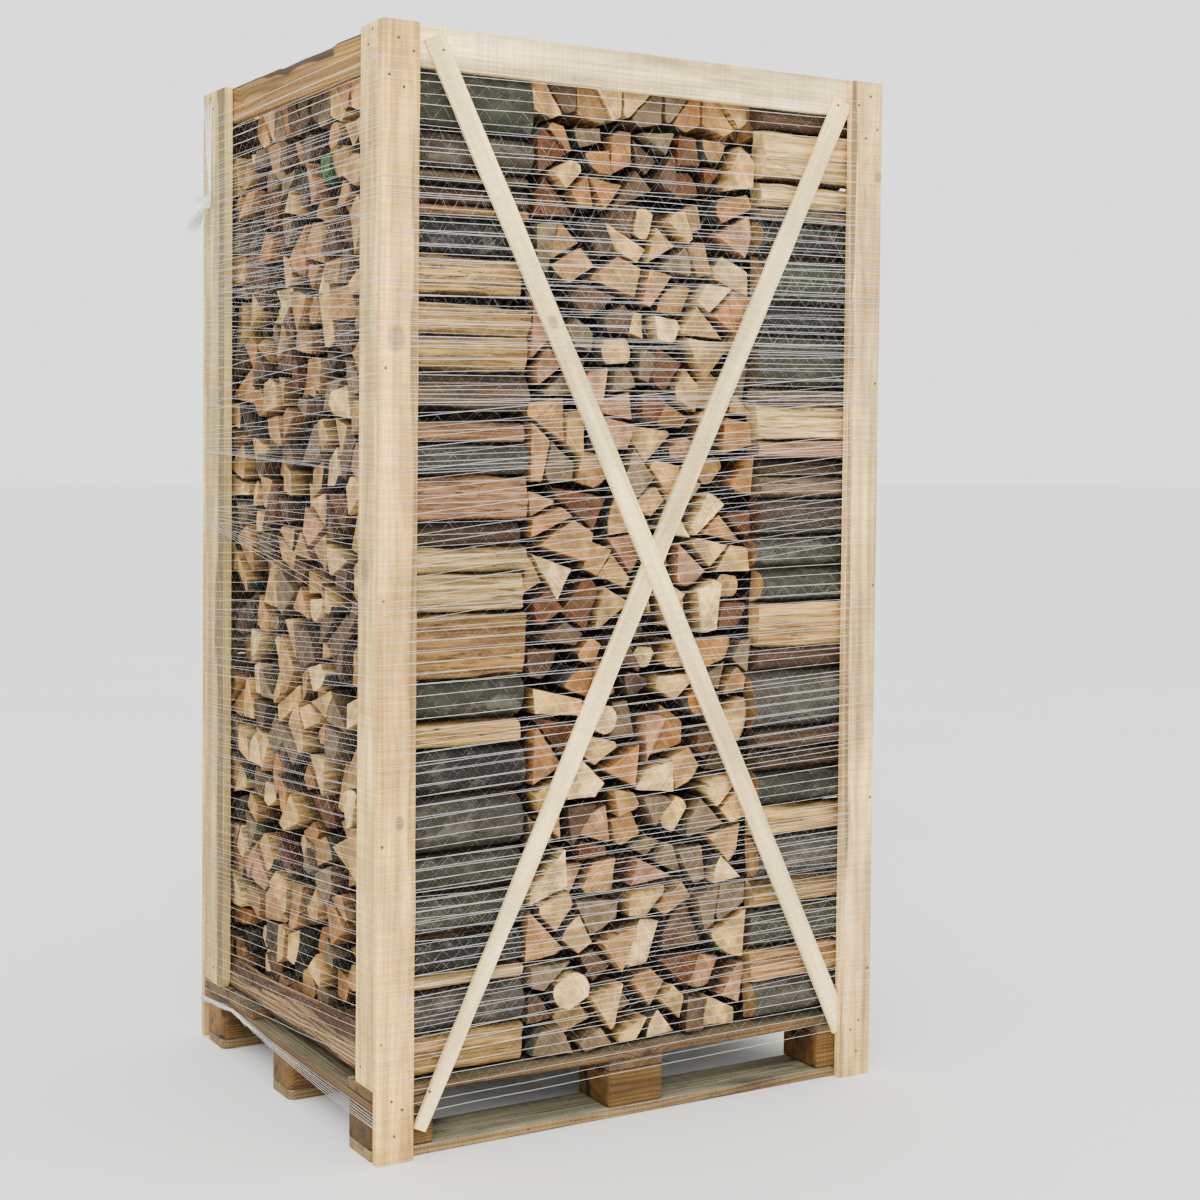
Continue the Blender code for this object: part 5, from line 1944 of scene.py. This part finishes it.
@dataclass
class KnittedNet:
    """Knitted net wound tightly round the posts from the foot to the top, two layers everywhere.

    The web has parallel strands. At the corner number j of its way it spans a low height and a
    width, and strand k of K lies at low + width * ((k + 0.5 + jitter) / K) ** power, so that a
    power above 1 bunches the web at its lower edge. The low height climbs as
    1 - (1 - share) ** 1.4, except at the corners that GATHERS gives low height, width and power.
    Between corners the strands run straight, and a thin thread goes down and up between
    neighbours in sharp waves, thinner on the short sides.
    """

    finish: Material
    strands: int = 20
    turns: int = 10
    width: float = 0.455
    bottom: float = 0.079
    top: float = 2.168
    plies: Pair = (0.0009, 0.0017)
    strand_radii: Pair = (0.00038, 0.00028)
    thread_radii: Pair = (0.00010, 0.000055)
    knot_place: Place = (-0.6110, 0.440, 1.948)

    def corner_heights(self) -> Array:
        """Work out where every strand passes the corners of the winding.

        Returns:
            Heights of shape (corners, strands).
        """
        rng = np.random.default_rng(4100)
        corners = 4 * self.turns + 1
        share = np.clip((np.arange(corners) - 3.0) / (corners - 7.0), 0.0, 1.0)
        low = self.bottom + (self.top - self.bottom - self.width) * (1 - (1 - share) ** 1.4)
        squeeze = 1 - 0.18 * rng.uniform(0, 1, corners) ** 2
        low = low + self.width * (1 - squeeze) * rng.uniform(0, 1, corners)
        width = self.width * squeeze
        powers = np.ones(corners)
        for corner, (gather_low, gather_width, power) in GATHERS.items():
            low[corner], width[corner], powers[corner] = gather_low, gather_width, power
        drift = rng.uniform(-0.10, 0.10, (corners, self.strands)).cumsum(axis=0) * 0.35
        lanes = (np.arange(self.strands) + 0.5)[None] + drift + rng.uniform(-0.08, 0.08, drift.shape)
        shares = np.clip(lanes / self.strands, 0.0, 1.0) ** powers[:, None]
        return np.clip(low[:, None] + width[:, None] * shares, self.bottom, self.top)

    def side(self, index: int) -> None:
        """Build the strands and threads over one side, turn by turn.

        Args:
            index: Number of the side.
        """
        side = NET_SIDES[index]
        rng = np.random.default_rng(4300 + index)
        heights = self.corner_heights()
        shells = Shells()
        radii = self.strand_radii[side.short], self.thread_radii[side.short]
        for turn in range(self.turns):
            pair = heights[4 * turn + index : 4 * turn + index + 2]
            web = Web(side, pair, self.plies[turn % 2], shells, rng, *radii)
            web.lay_strands()
            web.run_threads()
        self.finish_piece(shells, side.name)

    def finish_piece(self, shells: Shells, name: str) -> None:
        """Make a piece of the net."""
        shells.build(name, [self.finish], "net", "net", sharp=180.0)

    def knot(self) -> None:
        """Build the knot on the far post, its two frayed tufts and the strands gathered into it."""
        rng = np.random.default_rng(4500)
        centre = np.array(self.knot_place)
        shells = Shells()
        turn = np.linspace(0, 2 * np.pi, 26)[:, None]
        for _ in range(16):
            axis = unit(rng.normal(0, 1, 3))
            side = unit(np.cross(axis, (0.3, 0.5, 0.8)))
            wander = 1 + 0.12 * np.sin(turn * 3 + rng.uniform(0, 6))
            loop = (np.cos(turn) * side + np.sin(turn) * np.cross(axis, side)) * wander
            path = centre + loop * np.array([0.0078, 0.0105, 0.0150]) * rng.uniform(0.65, 1.0)
            shells.add(thread(path, 0.0011))
        self.add_tuft(shells, np.array([-0.026, 0.052, -0.070]), 0.0190, 120, rng)
        self.add_tuft(shells, np.array([-0.020, 0.040, 0.014]), 0.0090, 40, rng)
        along = np.linspace(0, 1, 9)[:, None]
        for _ in range(26):
            top = np.array([-0.6018, rng.uniform(0.440, 0.496), 2.176 - rng.uniform(0, 0.012)])
            foot = centre + rng.normal(0, 0.003, 3)
            foot[0] = -0.6040
            bulge = np.sin(np.pi * along) * np.array([-0.0006, rng.normal(0, 0.004), 0.0])
            shells.add(thread(top + (foot - top) * along + bulge, rng.uniform(0.0003, 0.0006)))
        around = np.linspace(0.2, 2 * np.pi - 0.2, 18)
        bow = np.sin(around / 2)
        for height, reach in ((2.062, 0.020), (2.030, 0.024)):
            band = [-0.6030 - 0.004 * bow, 0.478 - reach * bow * 0.6, height + 0.011 * np.cos(around)]
            shells.add(thread(np.stack(band, axis=-1), 0.0007))
        self.finish_piece(shells, "net_knot")

    def add_tuft(self, shells: Shells, way: Array, radius: float, count: int, rng: Generator) -> None:
        """Fan out a frayed tuft of threads from the knot.

        Args:
            shells: Surfaces that they are added to.
            way: From the knot to the tuft's end.
            radius: Radius of the tuft there.
            count: Number of threads.
            rng: Source of the draws.
        """
        along = np.linspace(0, 1, 9)[:, None]
        axis = unit(way)
        side = unit(np.cross(axis, UP))
        other = np.cross(axis, side)
        for _ in range(count):
            angle = rng.uniform(0, 2 * np.pi)
            spread = along**1.3 * (radius * math.sqrt(rng.uniform(0, 1)) * rng.uniform(0.8, 1.0))
            path = np.array(self.knot_place) + way * rng.uniform(0.55, 0.97) * along
            curl = np.sin(along * rng.uniform(3, 9) + rng.uniform(0, 6)) * 0.0012 * along
            path = path + (math.cos(angle) * side + math.sin(angle) * other) * spread + curl * side
            shells.add(thread(path, 0.00052 * (1.15 - 0.5 * along[:, 0]), 3))

    def foot_rope(self) -> None:
        """Build the strands over the pallet's left end, which gather and fray at the far post."""
        rng = np.random.default_rng(4600)
        marks = ((-0.499, -0.219, 0.059, 0.212, 0.288, 0.499), (0.078, 0.082, 0.091, 0.102, 0.108, 0.088))
        spacing = ((-0.499, 0.15, 0.30, 0.499), (0.0062, 0.0024, 0.0008, 0.0018))
        lowest = 0.0725
        shells = Shells()
        y = np.linspace(0.499, -0.499, 70)
        for strand in range(6):
            height = np.interp(y, *marks) + np.interp(y, *spacing) * (strand - 1.5)
            x = -HALF_X - 0.0014 + 0.0006 * np.sin(y * 9 + strand)
            z = np.maximum(height + rng.normal(0, 0.0004), lowest)
            shells.add(thread(np.stack([x, y, z], axis=-1), 0.00034, 3))
        for _ in range(26):
            y = np.linspace(0.499, rng.uniform(0.12, 0.34), 16)
            wave = np.sin(y * rng.uniform(25, 60) + rng.uniform(0, 6)) * rng.uniform(0.001, 0.005)
            x = -HALF_X - 0.0020 + 0.0008 * np.sin(y * 40 + rng.uniform(0, 6))
            z = np.maximum(np.interp(y, *marks) + wave + rng.normal(0, 0.0022), lowest)
            shells.add(thread(np.stack([x, y, z], axis=-1), 0.00024, 3))
        self.finish_piece(shells, "net_foot_rope")

    def build(self) -> None:
        """Build the whole net."""
        for index in range(4):
            self.side(index)
        self.knot()
        self.foot_rope()


# Studio


@dataclass
class Studio:
    """Pale floor, soft light and a camera at the photograph's place."""

    eye: Place = (-2.160, -3.943, 1.389)
    yaw: float = 59.265
    pitch: float = -2.064
    roll: float = 0.543
    lens: float = 59.24
    shift: float = -80 / 1200

    def camera(self) -> None:
        """Aim the camera by its yaw and pitch, then roll it."""
        yaw, pitch, roll = (math.radians(angle) for angle in (self.yaw, self.pitch, self.roll))
        facing = Matrix.Rotation(yaw - math.pi / 2, 4, "Z") @ Matrix.Rotation(pitch + math.pi / 2, 4, "X")
        data = bpy.data.cameras.new("camera")
        data.lens = self.lens
        data.sensor_width = 36.0
        data.shift_y = self.shift
        camera = new_object("camera", data)
        camera.matrix_world = Matrix.Translation(self.eye) @ facing @ Matrix.Rotation(roll, 4, "Z")
        bpy.context.scene.camera = camera

    def floor(self) -> None:
        """Lay the floor."""
        mesh = bpy.data.meshes.new("floor")
        reach = 60.0
        corners = [(-reach, -reach, 0), (reach, -reach, 0), (reach, reach, 0), (-reach, reach, 0)]
        mesh.from_pydata(corners, [], [(0, 1, 2, 3)])
        mesh.materials.append(PALE_FLOOR.material())
        new_object("floor", mesh)

    def lamp(self, name: str, place: Place, target: Place, size: float, power: float) -> None:
        """Hang a square soft light.

        Args:
            name: Name of the light.
            place: Where it hangs.
            target: What it faces.
            size: Length of its sides.
            power: Watts.
        """
        data = bpy.data.lights.new(name, "AREA")
        data.shape = "SQUARE"
        data.size = size
        data.energy = power
        turn = (Vector(target) - Vector(place)).to_track_quat("-Z", "Y").to_matrix().to_4x4()
        new_object(name, data).matrix_world = Matrix.Translation(place) @ turn

    def sky(self) -> None:
        """Light everything evenly from a white dome."""
        world = bpy.data.worlds.new("studio")
        world.use_nodes = True
        background = world.node_tree.nodes["Background"]
        background.inputs["Color"].default_value = (1.0, 1.0, 1.0, 1.0)
        background.inputs["Strength"].default_value = 2.0
        bpy.context.scene.world = world

    def build(self) -> None:
        """Set up the studio."""
        self.camera()
        self.floor()
        self.sky()
        self.lamp("key", (-3.4, -5.2, 4.6), (0.0, 0.0, 1.0), 3.0, 330.0)
        self.lamp("fill", (4.5, -4.0, 3.2), (0.0, 0.0, 1.1), 3.5, 60.0)


PINE = SawnWood(
    "pine boards",
    linear(230, 192, 120), linear(208, 162, 96), linear(104, 90, 70), linear(104, 84, 58),
    grime_share=0.34, contrast=0.60, depth=1.5,
)
BROWN_PINE = SawnWood(
    "brown rail",
    linear(126, 92, 48), linear(88, 61, 31), linear(40, 30, 21), linear(20, 18, 16),
    grime_share=0.45, contrast=0.8, relief=0.0012,
)
ROUGH_SLAB = SawnWood(
    "rough slab board",
    linear(118, 90, 58), linear(68, 44, 26), linear(36, 28, 21), linear(54, 31, 19),
    grime_share=0.5, contrast=0.9, relief=0.0018, rough=0.88,
)
PALLET_WOOD = SawnWood(
    "pallet wood",
    linear(104, 78, 44), linear(74, 52, 29), linear(28, 25, 20), linear(40, 32, 23),
    grime_share=0.8, contrast=0.8, depth=1.3,
)
WEATHERED = SawnWood(
    "weathered boards",
    linear(108, 98, 72), linear(76, 66, 47), linear(38, 34, 27), linear(58, 47, 33),
    grime_share=0.85, contrast=1.0, rough=0.9, relief=0.0014, depth=1.4,
)
FRESH_LATH = SawnWood(
    "fresh laths",
    linear(250, 224, 156), linear(238, 200, 124), linear(150, 118, 78), linear(120, 88, 56),
    grime_share=0.15, contrast=0.6, knots=0.02,
)


def main() -> None:
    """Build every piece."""
    logging.basicConfig(level=logging.INFO, format="%(message)s")
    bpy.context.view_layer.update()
    log_finishes = [finish.material() for finish in (EndGrain(), SplitFace(), BeechBark())]
    LogColumns(log_finishes, DARK_HEART.material()).build()
    woods = (PINE, BROWN_PINE, ROUGH_SLAB, PALLET_WOOD, WEATHERED, FRESH_LATH, NAIL_STEEL)
    Boards(*(wood.material() for wood in woods)).build()
    KnittedNet(NET_PLASTIC.material()).build()
    Studio().build()


if __name__ == "__main__":
    main()
